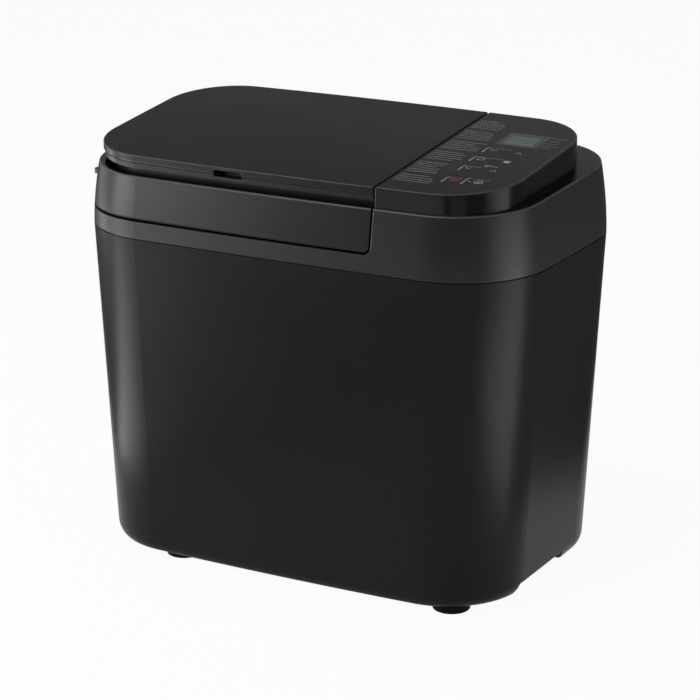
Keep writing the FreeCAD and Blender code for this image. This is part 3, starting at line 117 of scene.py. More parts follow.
def paintCrownHighlight(made, look):
    # a painted highlight on rounded upper edges, where light from above falls: only there does the surface
    # lean between flat and upright
    tree = made["tree"]
    lean = addNode(tree, "ShaderNodeSeparateXYZ", None, {"Vector": made["normal"]}).outputs["Z"]
    sides = []
    for start, end in (finish["crownRise"], finish["crownFall"]):
        sides.append(addNode(
            tree, "ShaderNodeMapRange", {"From Min": start, "From Max": end}, {"Value": lean}).outputs[0])
    leaning = addNode(tree, "ShaderNodeMath", None, {0: sides[0], 1: sides[1]}, operation="MULTIPLY")
    overlay(made, leaning.outputs[0], look["edgeWearAndHighlightTone"], strength=look["crown"])


def surface(name, look, **values):
    # the start of every finish: two tones, a shine that drifts over the piece, a grain in the normals
    material = bpy.data.materials.new(name)
    material.use_nodes = True
    tree = material.node_tree
    shader = tree.nodes["Principled BSDF"]
    for socket, value in values.items():
        shader.inputs[socket.replace("_", " ")].default_value = value
    own = addNode(tree, "ShaderNodeTexCoord")
    place = own.outputs["Object"]
    drawn = addNode(
        tree, "ShaderNodeMapping", {"Scale": look.get("stretch", (1, 1, 1))}, {"Vector": place}).outputs[0]
    flow = addNode(
        tree, "ShaderNodeTexNoise", {"Scale": perMetre(look["flowMm"]), "Detail": 3.0}, {"Vector": place})
    grain = addNode(
        tree, "ShaderNodeTexNoise", {"Scale": perMetre(look["grainMm"]), "Detail": 2.0}, {"Vector": drawn})
    start, end = finish["fleckSpan"]
    fleck = addNode(
        tree, "ShaderNodeMapRange", {"From Min": start, "From Max": end}, {"Value": grain.outputs["Fac"]})
    colour = addNode(
        tree, "ShaderNodeMix", {6: hexColour(look["colour"]), 7: hexColour(look["fleck"])},
        {0: fleck.outputs[0]}, data_type="RGBA").outputs[2]
    start, end = finish["shineSpan"]
    low, high = look["roughness"]
    shine = addNode(
        tree, "ShaderNodeMapRange", {"From Min": start, "From Max": end, "To Min": low, "To Max": high},
        {"Value": flow.outputs["Fac"]}).outputs[0]
    tree.links.new(colour, shader.inputs["Base Color"])
    tree.links.new(shine, shader.inputs["Roughness"])
    made = {
        "material": material, "tree": tree, "shader": shader, "place": place,
        "normal": own.outputs["Normal"], "colour": colour, "shine": shine,
    }
    lift = {"Height": grain.outputs["Fac"]}
    if "edgeMm" in look:
        lift["Normal"] = wearAndHighlightEdges(made, look)
    if "crown" in look:
        paintCrownHighlight(made, look)
    depth = look["grainMm"] / 1000 * finish["bumpDepth"]
    bump = addNode(tree, "ShaderNodeBump", {"Strength": look["bump"], "Distance": depth}, lift)
    tree.links.new(bump.outputs["Normal"], shader.inputs["Normal"])
    return made


def dress(made, *names):
    for name in names:
        for slot in nodes[name].material_slots:
            slot.material = made["material"]


# Mouldings

slope = {"tilt": 5.75, "height": 361.4}  # the top: degrees, and mm above the floor at mid depth
tilt = math.radians(slope["tilt"])

# spark-eroded ABS: a soft satin black whose grain just breaks up the highlights; the faint pale line along
# its edges is painted highlight
caseAbs = {
    "colour": "#1b1b1c", "fleck": "#1f1f20", "roughness": (0.30, 0.34), "flowMm": 90,
    "grainMm": 0.9,  # the real grain is about 0.15 mm, drawn coarser so that it shows
    "bump": 0.10, "edgeMm": 0.7, "edgeWearAndHighlight": 0.15, "edgeWearAndHighlightTone": "#3a3a3c",
}
dress(surface("spark eroded black ABS", caseAbs, IOR=1.53, Specular_IOR_Level=0.07), "outer_case")

# the band and lid come from a finer tool: a shade bluer and more evenly matt; the pale line along their
# edges and over their rounded tops is painted highlight
bandAbs = {
    "colour": "#242427", "fleck": "#28282b", "roughness": (0.33, 0.38), "flowMm": 80,
    "grainMm": 0.8,  # about 0.1 mm on the real moulding, drawn coarser so that it shows
    "bump": 0.08, "edgeMm": 1.2, "edgeWearAndHighlight": 0.5, "edgeWearAndHighlightTone": "#7e7e81", "crown": 0.4,
    "highlightAboveMm": 300,  # the painted edge highlight starts just over the lower edge of the lid's skirt
    "ledgeMm": (300, 299), "ledgeFacing": (0.8, 0.95), "ledgeShade": {"colour": "#060607", "roughness": 0.7},
}
band = surface("fine eroded blue black ABS", bandAbs, IOR=1.53, Specular_IOR_Level=0.2)
# painted shade: the upward faces of the ledge under the skirt are painted near black, so the gap reads as a
# dark line
facing = addNode(band["tree"], "ShaderNodeSeparateXYZ", None, {"Vector": band["normal"]}).outputs["Z"]
aside, upward = bandAbs["ledgeFacing"]
level = addNode(
    band["tree"], "ShaderNodeMapRange", {"From Min": aside, "From Max": upward}, {"Value": facing})
bandHeight = addNode(band["tree"], "ShaderNodeSeparateXYZ", None, {"Vector": band["place"]}).outputs["Z"]
above, below = bandAbs["ledgeMm"]
sunk = addNode(
    band["tree"], "ShaderNodeMapRange", {"From Min": above / 1000, "From Max": below / 1000},
    {"Value": bandHeight})
ledgeShade = addNode(
    band["tree"], "ShaderNodeMath", None, {0: level.outputs[0], 1: sunk.outputs[0]}, operation="MULTIPLY")
overlay(band, ledgeShade.outputs[0], **bandAbs["ledgeShade"])
dress(band, "top_band")

# hands polish the lid's skirt a little smoother, so it picks up more of the lamp on its side; the pale line
# along its edges is painted highlight
lidAbs = dict(
    bandAbs, colour="#161617", fleck="#1b1b1c", roughness=(0.30, 0.35), edgeWearAndHighlight=0.3,
    rimMm=-7.0, rimFadeMm=0.2, rim={"colour": "#060607", "roughness": 0.7},  # measured square to the slope
    hemMm=(299.6, 299.2), hem={"colour": "#060607", "roughness": 0.8},
)
lid = surface("hand polished black ABS", lidAbs, IOR=1.53, Specular_IOR_Level=0.22)
# the top of the rim sits in the shade of the cover plate
rise = addNode(
    lid["tree"], "ShaderNodeVectorMath", {1: (0, -math.sin(tilt), math.cos(tilt))}, {0: lid["place"]},
    operation="DOT_PRODUCT").outputs["Value"]
rimTop = slope["height"] * math.cos(tilt) + lidAbs["rimMm"]
overlay(lid, rise, **lidAbs["rim"], span=((rimTop - lidAbs["rimFadeMm"]) / 1000, rimTop / 1000))
# and the skirt's lower edge in the shade of its own gap
lidHeight = addNode(lid["tree"], "ShaderNodeSeparateXYZ", None, {"Vector": lid["place"]}).outputs["Z"]
overlay(lid, lidHeight, **lidAbs["hem"], span=[height / 1000 for height in lidAbs["hemMm"]])
dress(lid, "lid_shell")

# the cover plate has the same grain but is flat, so it shows the room as a soft sheen; the pale line along
# its edges is painted highlight
coverAbs = dict(bandAbs, colour="#0d0d0e", fleck="#111112", roughness=(0.28, 0.33), edgeWearAndHighlight=0.3)
dress(surface("fine eroded black ABS plate", coverAbs, IOR=1.53, Specular_IOR_Level=0.2), "dispenser_lid")

# the panel's tool is stoned smoother, so its upright wall shows clear streaks; the strong pale line along
# its edges is painted highlight
panelAbs = dict(bandAbs, colour="#121213", fleck="#151516", roughness=(0.15, 0.19), bump=0.03, edgeWearAndHighlight=0.7)
dress(surface("stoned black ABS", panelAbs, IOR=1.53, Specular_IOR_Level=0.14), "panel_housing")

# polypropylene that takes heat and flour: waxy dark grey with flow marks
foodPolypropylene = {
    "colour": "#2a2b2d", "fleck": "#313235", "roughness": (0.38, 0.52), "flowMm": 26, "grainMm": 1.4,
    "bump": 0.06, "edgeMm": 0.5, "edgeWearAndHighlight": 0.3, "edgeWearAndHighlightTone": "#4a4b4e",
}
dress(
    surface("moulded food grade polypropylene", foodPolypropylene, IOR=1.49, Specular_IOR_Level=0.35),
    "dispenser_box", "dispenser_flap", "steam_vent")

# glass-filled polypropylene: matt, with short pale fibres that float to the skin
baseLook = {
    "colour": "#1b1b1c", "fleck": "#2d2d2e", "roughness": (0.55, 0.7), "flowMm": 40, "grainMm": 0.7,
    "stretch": (1.0, 0.25, 1.0), "bump": 0.25, "edgeMm": 0.5, "edgeWearAndHighlight": 0.3, "edgeWearAndHighlightTone": "#3c3c3d",
}
dress(surface("glass filled black polypropylene", baseLook, IOR=1.49, Specular_IOR_Level=0.25), "base_plate")
print("mouldings dressed")

# Panel film, keys and display

keyNames = (
    "menu_down_key", "menu_up_key", "size_key", "crust_key",
    "timer_down_key", "timer_up_key", "stop_key", "start_key",
)

# polycarbonate film with a hard coat: an even black, half glossy, with a faint sheen of the room on it
filmLook = {
    "colour": "#0c0c0d", "fleck": "#101011", "roughness": (0.13, 0.16), "flowMm": 60,
    "grainMm": 0.5,  # the coat's sand is about 0.05 mm, drawn coarser so that it shows
    "bump": 0.05,
}
dress(
    surface("hard coated polycarbonate film", filmLook, IOR=1.58, Specular_IOR_Level=0.11),
    "panel_overlay", *keyNames)

# the display's front polariser: a milky teal grey that half hides the cell under it, with an anti-glare coat
windowLook = {
    "colour": "#879b9a", "fleck": "#8da1a0", "roughness": (0.2, 0.26), "flowMm": 30, "grainMm": 0.5,
    "bump": 0.02,
}
dress(
    surface("anti glare polariser film", windowLook, IOR=1.5, Specular_IOR_Level=0.15, Alpha=0.62),
    "lcd_window")

# reflective liquid crystal cell: pale teal grey, its pixel rows just told apart
cellLook = {
    "colour": "#93a8a6", "fleck": "#9db1af", "roughness": (0.4, 0.5), "flowMm": 14, "grainMm": 0.5,
    "rowMm": 1.2,  # real rows are about 0.25 mm, drawn coarser so that they show
    "rows": {"colour": "#6d807f", "span": (0.75, 1.0), "strength": 0.12},
    "bump": 0.02,
}
cell = surface("reflective liquid crystal cell", cellLook, IOR=1.52)
cellRows = addNode(
    cell["tree"], "ShaderNodeTexWave", {"Scale": perMetre(cellLook["rowMm"]) * waveTurn, "Distortion": 0.0},
    {"Vector": cell["place"]}, wave_type="BANDS", bands_direction="Y")
overlay(cell, cellRows.outputs["Fac"], **cellLook["rows"])
dress(cell, "lcd_module")
print("panel dressed")

# Soft pieces

# moulded rubber: dead black with a dusty bloom in patches
rubberLook = {
    "colour": "#0c0c0d", "fleck": "#121213", "roughness": (0.6, 0.82), "flowMm": 9, "grainMm": 0.6,
    "bump": 0.2, "edgeMm": 0.4, "edgeWearAndHighlight": 0.4, "edgeWearAndHighlightTone": "#2c2c2e",
}
dress(
    surface("moulded nitrile rubber", rubberLook, IOR=1.52, Specular_IOR_Level=0.06, Sheen_Weight=0.02),
    "feet", "cord_gland")

# the belt carries its cord lines lengthwise
beltLook = dict(
    rubberLook, colour="#131314", fleck="#1d1d1f", stretch=(1.0, 1.0, 6.0), grainMm=1.0, bump=0.35,
    cordMm=1.3, cords={"colour": "#2a2a2c", "span": (0.7, 1.0), "strength": 0.5},
)
belt = surface("corded neoprene belt", beltLook, IOR=1.52, Specular_IOR_Level=0.25)
beltCords = addNode(
    belt["tree"], "ShaderNodeTexWave", {"Scale": perMetre(beltLook["cordMm"]) * waveTurn, "Distortion": 0.2},
    {"Vector": belt["place"]}, wave_type="BANDS", bands_direction="Z")
overlay(belt, beltCords.outputs["Fac"], **beltLook["cords"])
dress(belt, "drive_belt")

# cured silicone: warm grey and faintly see-through, with a tacky sheen
siliconeLook = {
    "colour": "#8d8a84", "fleck": "#98958e", "roughness": (0.42, 0.55), "flowMm": 30, "grainMm": 1.2,
    "bump": 0.05, "edgeMm": 0.6, "edgeWearAndHighlight": 0.3, "edgeWearAndHighlightTone": "#a8a59e",
}
dress(
    surface("cured grey silicone", siliconeLook, IOR=1.41, Subsurface_Weight=0.15, Subsurface_Scale=0.002),
    "lid_gasket")
print("soft pieces dressed")

# Metals

# aluminised sheet: cool grey spangles, each with its own shine, under a rolled grain
sheetLook = {
    "colour": "#8f9294", "fleck": "#a3a6a8", "roughness": (0.3, 0.42), "flowMm": 50, "grainMm": 1.6,
    "stretch": (1.0, 1.0, 0.06), "bump": 0.05, "edgeMm": 0.4, "edgeWearAndHighlight": 0.4, "edgeWearAndHighlightTone": "#c4c6c8",
    "spangleMm": 7,
    "spangles": {"colour": "#71757a", "roughness": 0.5, "span": (0.2, 1.0), "strength": 0.45},
}
sheet = surface("aluminised sheet steel", sheetLook, Metallic=1.0)
spangle = addNode(
    sheet["tree"], "ShaderNodeTexVoronoi", {"Scale": perMetre(sheetLook["spangleMm"]), "Randomness": 1.0},
    {"Vector": sheet["place"]}, feature="F1")
spangleTone = addNode(
    sheet["tree"], "ShaderNodeSeparateColor", None, {"Color": spangle.outputs["Color"]})
overlay(sheet, spangleTone.outputs[0], **sheetLook["spangles"])
dress(sheet, "baking_chamber", "drive_frame", "motor_brackets", "heater_clips")

# rolled aluminium: bright, with fine lines along X from the mill
rolledLook = {
    "colour": "#a8aaab", "fleck": "#b7b9ba", "roughness": (0.28, 0.4), "flowMm": 60, "grainMm": 1.2,
    "stretch": (0.03, 1.0, 1.0), "bump": 0.12, "edgeMm": 0.4, "edgeWearAndHighlight": 0.4, "edgeWearAndHighlightTone": "#d2d3d4",
    "edgeShade": {"colour": "#0e0e0f", "roughness": 0.8, "span": (0.6, 0.3)},  # by how level the face lies
}
rolled = surface("rolled aluminium sheet", rolledLook, Metallic=1.0, Anisotropic=0.35)
# painted shade: the sheared edge faces are painted near black, so they don't glint through the gap under the
# skirt
sideways = addNode(rolled["tree"], "ShaderNodeSeparateXYZ", None, {"Vector": rolled["normal"]}).outputs["Z"]
flatness = addNode(rolled["tree"], "ShaderNodeMath", None, {0: sideways}, operation="ABSOLUTE")
overlay(rolled, flatness.outputs[0], **rolledLook["edgeShade"])
dress(rolled, "lid_inner_plate")

# zinc-plated steel: pale with a faint yellow cast and tiny scuffs
platedLook = {
    "colour": "#a9a8a2", "fleck": "#bcbcb9", "roughness": (0.24, 0.38), "flowMm": 6, "grainMm": 0.7,
    "bump": 0.08, "edgeMm": 0.25, "edgeWearAndHighlight": 0.5, "edgeWearAndHighlightTone": "#dcdcda",
}
dress(
    surface("zinc plated steel", platedLook, Metallic=1.0),
    "lid_screws", "board_screws", "base_screws", "frame_screws", "power_board_screws", "motor_bolts",
    "pulley_nut", "solenoid_plunger")

# turned and ground steel: bright, with rings left by the wheel
groundLook = {
    "colour": "#9d9fa1", "fleck": "#b4b6b8", "roughness": (0.16, 0.26), "flowMm": 12, "grainMm": 0.5,
    "stretch": (0.15, 0.15, 1.0), "bump": 0.1, "edgeMm": 0.3, "edgeWearAndHighlight": 0.4, "edgeWearAndHighlightTone": "#d6d7d8",
}
dress(
    surface("ground steel", groundLook, Metallic=1.0, Anisotropic=0.3),
    "drive_shaft", "pan_shaft", "motor_rotor", "hinge_pins", "dispenser_hinge_pins", "temperature_sensor")

# drawn stainless wire: the handle, bright with long die lines
wireLook = dict(
    groundLook, colour="#b3b4b4", fleck="#c3c4c4", stretch=(0.08, 1.0, 1.0), roughness=(0.2, 0.3))
dress(surface("drawn stainless wire", wireLook, Metallic=1.0), "pan_handle")

# the heater's steel sheath: dark with straw and blue oxide where it has run hot
sheathLook = {
    "colour": "#4a4744", "fleck": "#57534f", "roughness": (0.38, 0.55), "flowMm": 24, "grainMm": 0.8,
    "bump": 0.1, "tintMm": 45,
    "straw": {"colour": "#6e5a3a", "span": (0.5, 0.68), "strength": 0.6},
    "blue": {"colour": "#3b4354", "span": (0.46, 0.32), "strength": 0.5},
}
sheath = surface("heat tinted steel sheath", sheathLook, Metallic=1.0)
tint = addNode(
    sheath["tree"], "ShaderNodeTexNoise", {"Scale": perMetre(sheathLook["tintMm"]), "Detail": 2.0},
    {"Vector": sheath["place"]})
for oxide in ("straw", "blue"):
    overlay(sheath, tint.outputs["Fac"], **sheathLook[oxide])
dress(sheath, "heater_element")

# a stack of stamped laminations: fine dark lines between bright edges, varnished brown in patches
laminationLook = {
    "colour": "#6a6864", "fleck": "#7b7975", "roughness": (0.4, 0.55), "flowMm": 18, "grainMm": 0.8,
    "bump": 0.08,
    "sheetMm": 1.0,  # real sheets are 0.5 mm, drawn coarser so that they show
    "seams": {"colour": "#2b2926", "roughness": 0.7, "span": (0.7, 0.95), "strength": 0.8},
    "varnishMm": 16,
    "varnish": {"colour": "#5a4126", "roughness": 0.3, "span": (0.55, 0.7), "strength": 0.45},
}
laminations = surface("stacked motor laminations", laminationLook, Metallic=0.85)
sheets = addNode(
    laminations["tree"], "ShaderNodeTexWave",
    {"Scale": perMetre(laminationLook["sheetMm"]) * waveTurn, "Distortion": 0.3},
    {"Vector": laminations["place"]}, wave_type="BANDS", bands_direction="Z")
overlay(laminations, sheets.outputs["Fac"], **laminationLook["seams"])
varnish = addNode(
    laminations["tree"], "ShaderNodeTexNoise",
    {"Scale": perMetre(laminationLook["varnishMm"]), "Detail": 3.0}, {"Vector": laminations["place"]})
overlay(laminations, varnish.outputs["Fac"], **laminationLook["varnish"])
dress(laminations, "motor_stator", "solenoid")

# die-cast aluminium: dull silver with a fine pebbled skin and dark pores
castLook = {
    "colour": "#8e9092", "fleck": "#a0a2a4", "roughness": (0.42, 0.56), "flowMm": 12, "grainMm": 1.1,
    "bump": 0.3, "edgeMm": 0.5, "edgeWearAndHighlight": 0.5, "edgeWearAndHighlightTone": "#c2c4c6", "poreMm": 3.0,
    "pores": {"colour": "#4c4d4f", "roughness": 0.8, "span": (0.16, 0.06), "strength": 0.7},
}
cast = surface("die cast aluminium", castLook, Metallic=1.0)
castPores = addNode(
    cast["tree"], "ShaderNodeTexVoronoi", {"Scale": perMetre(castLook["poreMm"])}, {"Vector": cast["place"]},
    feature="F1")
overlay(cast, castPores.outputs["Distance"], **castLook["pores"])
dress(cast, "bearing_housing", "pan_bearing", "pan_seat")

# sintered bronze: oily golden brown, peppered with open pores
bronzeLook = {
    "colour": "#8a6238", "fleck": "#a37a48", "roughness": (0.3, 0.42), "flowMm": 5, "grainMm": 0.4,
    "bump": 0.25,
    "poreMm": 0.8,  # real pores are about 0.05 mm, drawn coarser so that they show
    "pores": {"colour": "#3c2812", "roughness": 0.25, "span": (0.3, 0.12), "strength": 0.8},
}
bronze = surface("sintered oil bronze", bronzeLook, Metallic=1.0)
oilPores = addNode(
    bronze["tree"], "ShaderNodeTexVoronoi", {"Scale": perMetre(bronzeLook["poreMm"])},
    {"Vector": bronze["place"]}, feature="F1")
overlay(bronze, oilPores.outputs["Distance"], **bronzeLook["pores"])
dress(bronze, "bearing_bushes")
print("metals dressed")

# Coatings, pulleys and boards

# fired non-stick coat on cast aluminium: charcoal with pale specks, worn a little along the rims
coatLook = {
    "colour": "#232426", "fleck": "#2b2c2e", "roughness": (0.3, 0.44), "flowMm": 22, "grainMm": 1.0,
    "bump": 0.14, "edgeMm": 0.7, "edgeWearAndHighlight": 0.45, "edgeWearAndHighlightTone": "#6a6b6d", "speckMm": 2.2,
    "specks": {"colour": "#8c8d8f", "roughness": 0.35, "span": (0.17, 0.09), "strength": 0.8},
}
coat = surface("fired non-stick coat", coatLook, IOR=1.4, Specular_IOR_Level=0.45)
coatSpecks = addNode(
    coat["tree"], "ShaderNodeTexVoronoi", {"Scale": perMetre(coatLook["speckMm"])},
    {"Vector": coat["place"]}, feature="F1")
overlay(coat, coatSpecks.outputs["Distance"], **coatLook["specks"])
dress(coat, "bread_pan", "kneading_blade")

# natural nylon: creamy and slightly see-through, greyed with belt dust
nylonLook = {
    "colour": "#c9c3b2", "fleck": "#d3cdbd", "roughness": (0.36, 0.5), "flowMm": 14, "grainMm": 1.0,
    "bump": 0.06, "edgeMm": 0.4, "edgeWearAndHighlight": 0.3, "edgeWearAndHighlightTone": "#e2ddd0", "dustMm": 9,
    "dust": {"colour": "#7d786c", "roughness": 0.7, "span": (0.52, 0.75), "strength": 0.5},
}
nylon = surface(
    "natural moulded nylon", nylonLook, IOR=1.53, Subsurface_Weight=0.2, Subsurface_Scale=0.003)
beltDust = addNode(
    nylon["tree"], "ShaderNodeTexNoise", {"Scale": perMetre(nylonLook["dustMm"]), "Detail": 4.0},
    {"Vector": nylon["place"]})
overlay(nylon, beltDust.outputs["Fac"], **nylonLook["dust"])
dress(nylon, "motor_pulley", "drive_pulley")

# circuit board: olive green under its solder mask, with paler copper tracks and bright solder dots
boardLook = {
    "colour": "#3d5a34", "fleck": "#446239", "roughness": (0.3, 0.4), "flowMm": 20, "grainMm": 0.6,
    "bump": 0.05,
    "trackMm": 6.0, "tracks": {"colour": "#6f8a4a", "roughness": 0.22, "strength": 0.8},
    "padMm": 5.0, "pads": {"colour": "#b9bcbb", "roughness": 0.25, "span": (0.22, 0.17)},
}
board = surface("solder masked circuit board", boardLook, IOR=1.55)
trackRow = 0.25  # a row of tracks in the brick texture's own unit
boardTracks = addNode(
    board["tree"], "ShaderNodeTexBrick",
    {"Scale": perMetre(boardLook["trackMm"]) * trackRow, "Row Height": trackRow, "Brick Width": 0.9,
     "Mortar Size": 0.03, "Mortar Smooth": 0.1, "Bias": 0.0},
    {"Vector": board["place"]}, offset=0.37, squash=0.7, squash_frequency=3)
overlay(board, boardTracks.outputs["Fac"], **boardLook["tracks"])
boardPads = addNode(
    board["tree"], "ShaderNodeTexVoronoi", {"Scale": perMetre(boardLook["padMm"]), "Randomness": 0.55},
    {"Vector": board["place"]}, feature="F1")
overlay(board, boardPads.outputs["Distance"], **boardLook["pads"])
dress(board, "control_board", "power_board")

# component housings: filled black epoxy with a fine mould grain, pale at the edges and grey round the foot
partLook = {
    "colour": "#1d1d20", "fleck": "#252529", "roughness": (0.42, 0.58), "flowMm": 8, "grainMm": 0.5,
    "bump": 0.15, "edgeMm": 0.4, "edgeWearAndHighlight": 0.5, "edgeWearAndHighlightTone": "#55565a",
    "footMm": (4.0, 3.2), "foot": {"colour": "#4a4b52", "roughness": 0.5},
}
housings = surface("filled epoxy housings", partLook, IOR=1.55, Specular_IOR_Level=0.4)
partHeight = addNode(
    housings["tree"], "ShaderNodeSeparateXYZ", None, {"Vector": housings["place"]}).outputs["Z"]
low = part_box("board_components")[0].z
footSpan = [low + height / 1000 for height in partLook["footMm"]]
overlay(housings, partHeight, **partLook["foot"], span=footSpan)
dress(housings, "board_components", "tact_switches")
print("coatings and boards dressed")

# Prints on the sloping top

inkMm = 0.03  # how thick a patch of ink lies


def onTop(x, v, lift):
    # from mm across, mm up the slope and mm proud of it to metres
    y = v * math.cos(tilt) - lift * math.sin(tilt)
    z = slope["height"] + v * math.sin(tilt) + lift * math.cos(tilt)
    return Vector((x, y, z)) / 1000


def inkShape(mesh, points):
    # one closed patch of ink as a thin plate: its face, its underside and its edge
    upper = [mesh.verts.new(onTop(x, v, inkMm)) for x, v in points]
    lower = [mesh.verts.new(onTop(x, v, 0.0)) for x, v in points]
    mesh.faces.new(upper)
    mesh.faces.new(lower[::-1])
    for i in range(len(points)):
        j = (i + 1) % len(points)
        mesh.faces.new((upper[i], lower[i], lower[j], upper[j]))


def inkLine(mesh, points, width):
    # a bar for each stretch, longer by half the width at both ends
    for (x0, v0), (x1, v1) in zip(points, points[1:]):
        along = Vector((x1 - x0, v1 - v0)).normalized() * width / 2
        side = Vector((-along.y, along.x))
        start, end = Vector((x0, v0)) - along, Vector((x1, v1)) + along
        inkShape(mesh, [start - side, end - side, end + side, start + side])


def inkRing(mesh, x, v, radius, width, steps=24):
    inner, outer = radius - width / 2, radius + width / 2
    for i in range(steps):
        a, b = 2 * math.pi * i / steps, 2 * math.pi * (i + 1) / steps
        wedge = ((inner, a), (outer, a), (outer, b), (inner, b))
        inkShape(mesh, [(x + r * math.cos(turn), v + r * math.sin(turn)) for r, turn in wedge])


def finishInk(name, mesh, made, body):
    bmesh.ops.recalc_face_normals(mesh, faces=mesh.faces)
    data = bpy.data.meshes.new(name)
    mesh.to_mesh(data)
    mesh.free()
    data.materials.append(made["material"])
    piece = bpy.data.objects.new(name, data)
    bpy.context.scene.collection.objects.link(piece)
    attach(piece, body)


# screen-printed ink: flat pale grey that the mesh of the screen leaves faintly uneven
inkLook = {
    "colour": "#7d7d7c", "fleck": "#929290", "roughness": (0.45, 0.6), "flowMm": 8, "grainMm": 0.6,
    "bump": 0.1,
}


def ink(name, **changes):
    return surface(name, dict(inkLook, **changes), IOR=1.5, Specular_IOR_Level=0.3)


greyInk = ink("screen printed grey ink")
whiteInk = ink("screen printed white ink", colour="#b2b2b0", fleck="#c4c4c2")
redInk = ink("screen printed red ink", colour="#8e2b31", fleck="#a3363c")
borderInk = ink("printed display border", colour="#515256", fleck="#5a5b5f", roughness=(0.3, 0.38))

# rows of short plain bars left of the keys, in mm
legend = {
    "left": 92.5, "front": -97.0, "rear": 60.0, "rowMm": 4.6, "skip": (4, 11, 17, 23, 29), "seed": 7,
    "rightEnds": (  # up the slope, and where the rows end there at most
        (-97, 127), (-80, 121), (-60, 119), (-40, 122), (-16, 125), (10, 124), (44, 122), (60, 113)),
    "raggedMm": 7, "pieceMm": (2.2, 6.5), "insetMm": 0.4, "gapMm": 0.9, "barMm": 1.5, "weight": (0.75, 1.0),
}
# and right of the display: up the slope, start and end of each row
sideBars = {
    "rows": ((36, 167.5, 183), (29, 169, 178), (22.5, 168, 180), (16.5, 167.5, 180), (11, 168, 177.5)),
    "pieceMm": (2.5, 5), "gapMm": 0.8, "barMm": 1.0,
}
shortestBar = 1.0  # where less than this many mm of a row are left, they stay bare


def legendEnd(v):
    ends = legend["rightEnds"]
    for (v0, x0), (v1, x1) in zip(ends, ends[1:]):
        if v <= v1:
            return x0 + (x1 - x0) * (v - v0) / (v1 - v0)
    return ends[-1][1]


def makePanelPrints():
    # plain bars only, so nothing on the film can be read
    pick = random.Random(legend["seed"])
    mesh = bmesh.new()
    row, v = 0, legend["front"]
    while v <= legend["rear"]:
        if row not in legend["skip"]:
            x, end = legend["left"], legendEnd(v) - pick.uniform(0, legend["raggedMm"])
            while x < end - shortestBar:
                length = min(pick.uniform(*legend["pieceMm"]), end - x)
                ends = [(x + legend["insetMm"], v), (x + length - legend["insetMm"], v)]
                inkLine(mesh, ends, legend["barMm"] * pick.uniform(*legend["weight"]))
                x += length + legend["gapMm"]
        row, v = row + 1, v + legend["rowMm"]
    for v, x, end in sideBars["rows"]:
        while x < end - shortestBar:
            length = min(pick.uniform(*sideBars["pieceMm"]), end - x)
            inkLine(mesh, [(x, v), (x + length - sideBars["gapMm"], v)], sideBars["barMm"])
            x += length
    return mesh


# brackets beside the key rows, a small clock with a bar, and a dot
brackets = {
    # left edge, front, rear and right end of each
    "rows": (
        (129, -14, -2, 150), (129, -37, -26, 154), (130.5, -60, -49, 146), (131, -90, -78, 143),
        (147.3, -89, -75.5, 166)),
    "cornerMm": 1.2, "edgeMm": 1.1, "gapMm": 2.0, "lineMm": 0.35,
    "clock": (147.8, -43.9), "clockRadius": 2.0, "clockLine": 0.6,
    "hands": ((0, 1.2), (0, 0), (0.9, -0.5)), "handLine": 0.5,
    "clockBar": (151.5, 157), "clockBarLine": 0.9,
    "dot": (151.4, -82.2), "dotRadius": 0.5, "dotLine": 0.9, "dotSteps": 12,
}


def makeBrackets(look):
    mesh = bmesh.new()
    corner = look["cornerMm"]
    for x, front, rear, end in look["rows"]:
        inkLine(mesh, [(x, front), (x, rear - corner), (x + corner, rear)], look["edgeMm"])
        inkLine(mesh, [(x + look["gapMm"], rear), (end, rear)], look["lineMm"])
    x, v = look["clock"]
    inkRing(mesh, x, v, look["clockRadius"], look["clockLine"])
    inkLine(mesh, [(x + across, v + up) for across, up in look["hands"]], look["handLine"])
    inkLine(mesh, [(end, v) for end in look["clockBar"]], look["clockBarLine"])
    inkRing(mesh, *look["dot"], look["dotRadius"], look["dotLine"], look["dotSteps"])
    return mesh


# the marks on the keys, in mm from the middle of each
markShapes = {
    "chevron": ((-2.2, -1.0), (0, 1.2), (2.2, -1.0)), "chevronLine": 0.8,
    "loaf": (
        (-2.6, -2.2), (2.6, -2.2), (2.6, 0.3), (3.1, 1.0), (2.6, 2.2), (1.4, 2.6), (-1.4, 2.6),
        (-2.6, 2.2), (-3.1, 1.0), (-2.6, 0.3)),
    "loafLine": 0.7,
    "stop": {"radius": 3.6, "line": 0.9, "bar": ((-1.4, 0), (1.4, 0)), "barLine": 2.4},
    "start": {"radius": 3.2, "line": 0.8, "bar": ((0, -1.5), (0, 1.5)), "barLine": 0.9},
}


def chevron(mesh, x, v, way):
    inkLine(mesh, [(x + a, v + way * b) for a, b in markShapes["chevron"]], markShapes["chevronLine"])


def loaf(mesh, x, v, filled):
    points = [(x + a, v + b) for a, b in markShapes["loaf"]]
    if filled:
        inkShape(mesh, points)
    else:
        inkLine(mesh, points + points[:1], markShapes["loafLine"])


def barredRing(mesh, x, v, kind):
    shape = markShapes[kind]
    inkRing(mesh, x, v, shape["radius"], shape["line"])
    inkLine(mesh, [(x + a, v + b) for a, b in shape["bar"]], shape["barLine"])


# what each key shows, and the middle of it: mm across, mm up the slope
keyMarks = {
    "menu_down_key": (chevron, 136.0, -7.0, -1),
    "menu_up_key": (chevron, 158.0, -7.0, 1),
    "size_key": (loaf, 136.0, -30.0, False),
    "crust_key": (loaf, 158.5, -30.0, True),
    "timer_down_key": (chevron, 136.0, -53.5, -1),
    "timer_up_key": (chevron, 158.0, -53.0, 1),
    "stop_key": (barredRing, 139.0, -82.5, "stop"),
    "start_key": (barredRing, 159.0, -81.5, "start"),
}

finishInk("programmeBars", makePanelPrints(), greyInk, "machine")
finishInk("keyRowBrackets", makeBrackets(brackets), whiteInk, "machine")
for key in keyNames:
    draw, x, v, how = keyMarks[key]
    mesh = bmesh.new()
    draw(mesh, x, v, how)
    markName = key.replace("_key", "Mark").replace("_", "")
    finishInk(markName, mesh, redInk if key == "stop_key" else whiteInk, key)

# Display print and figures

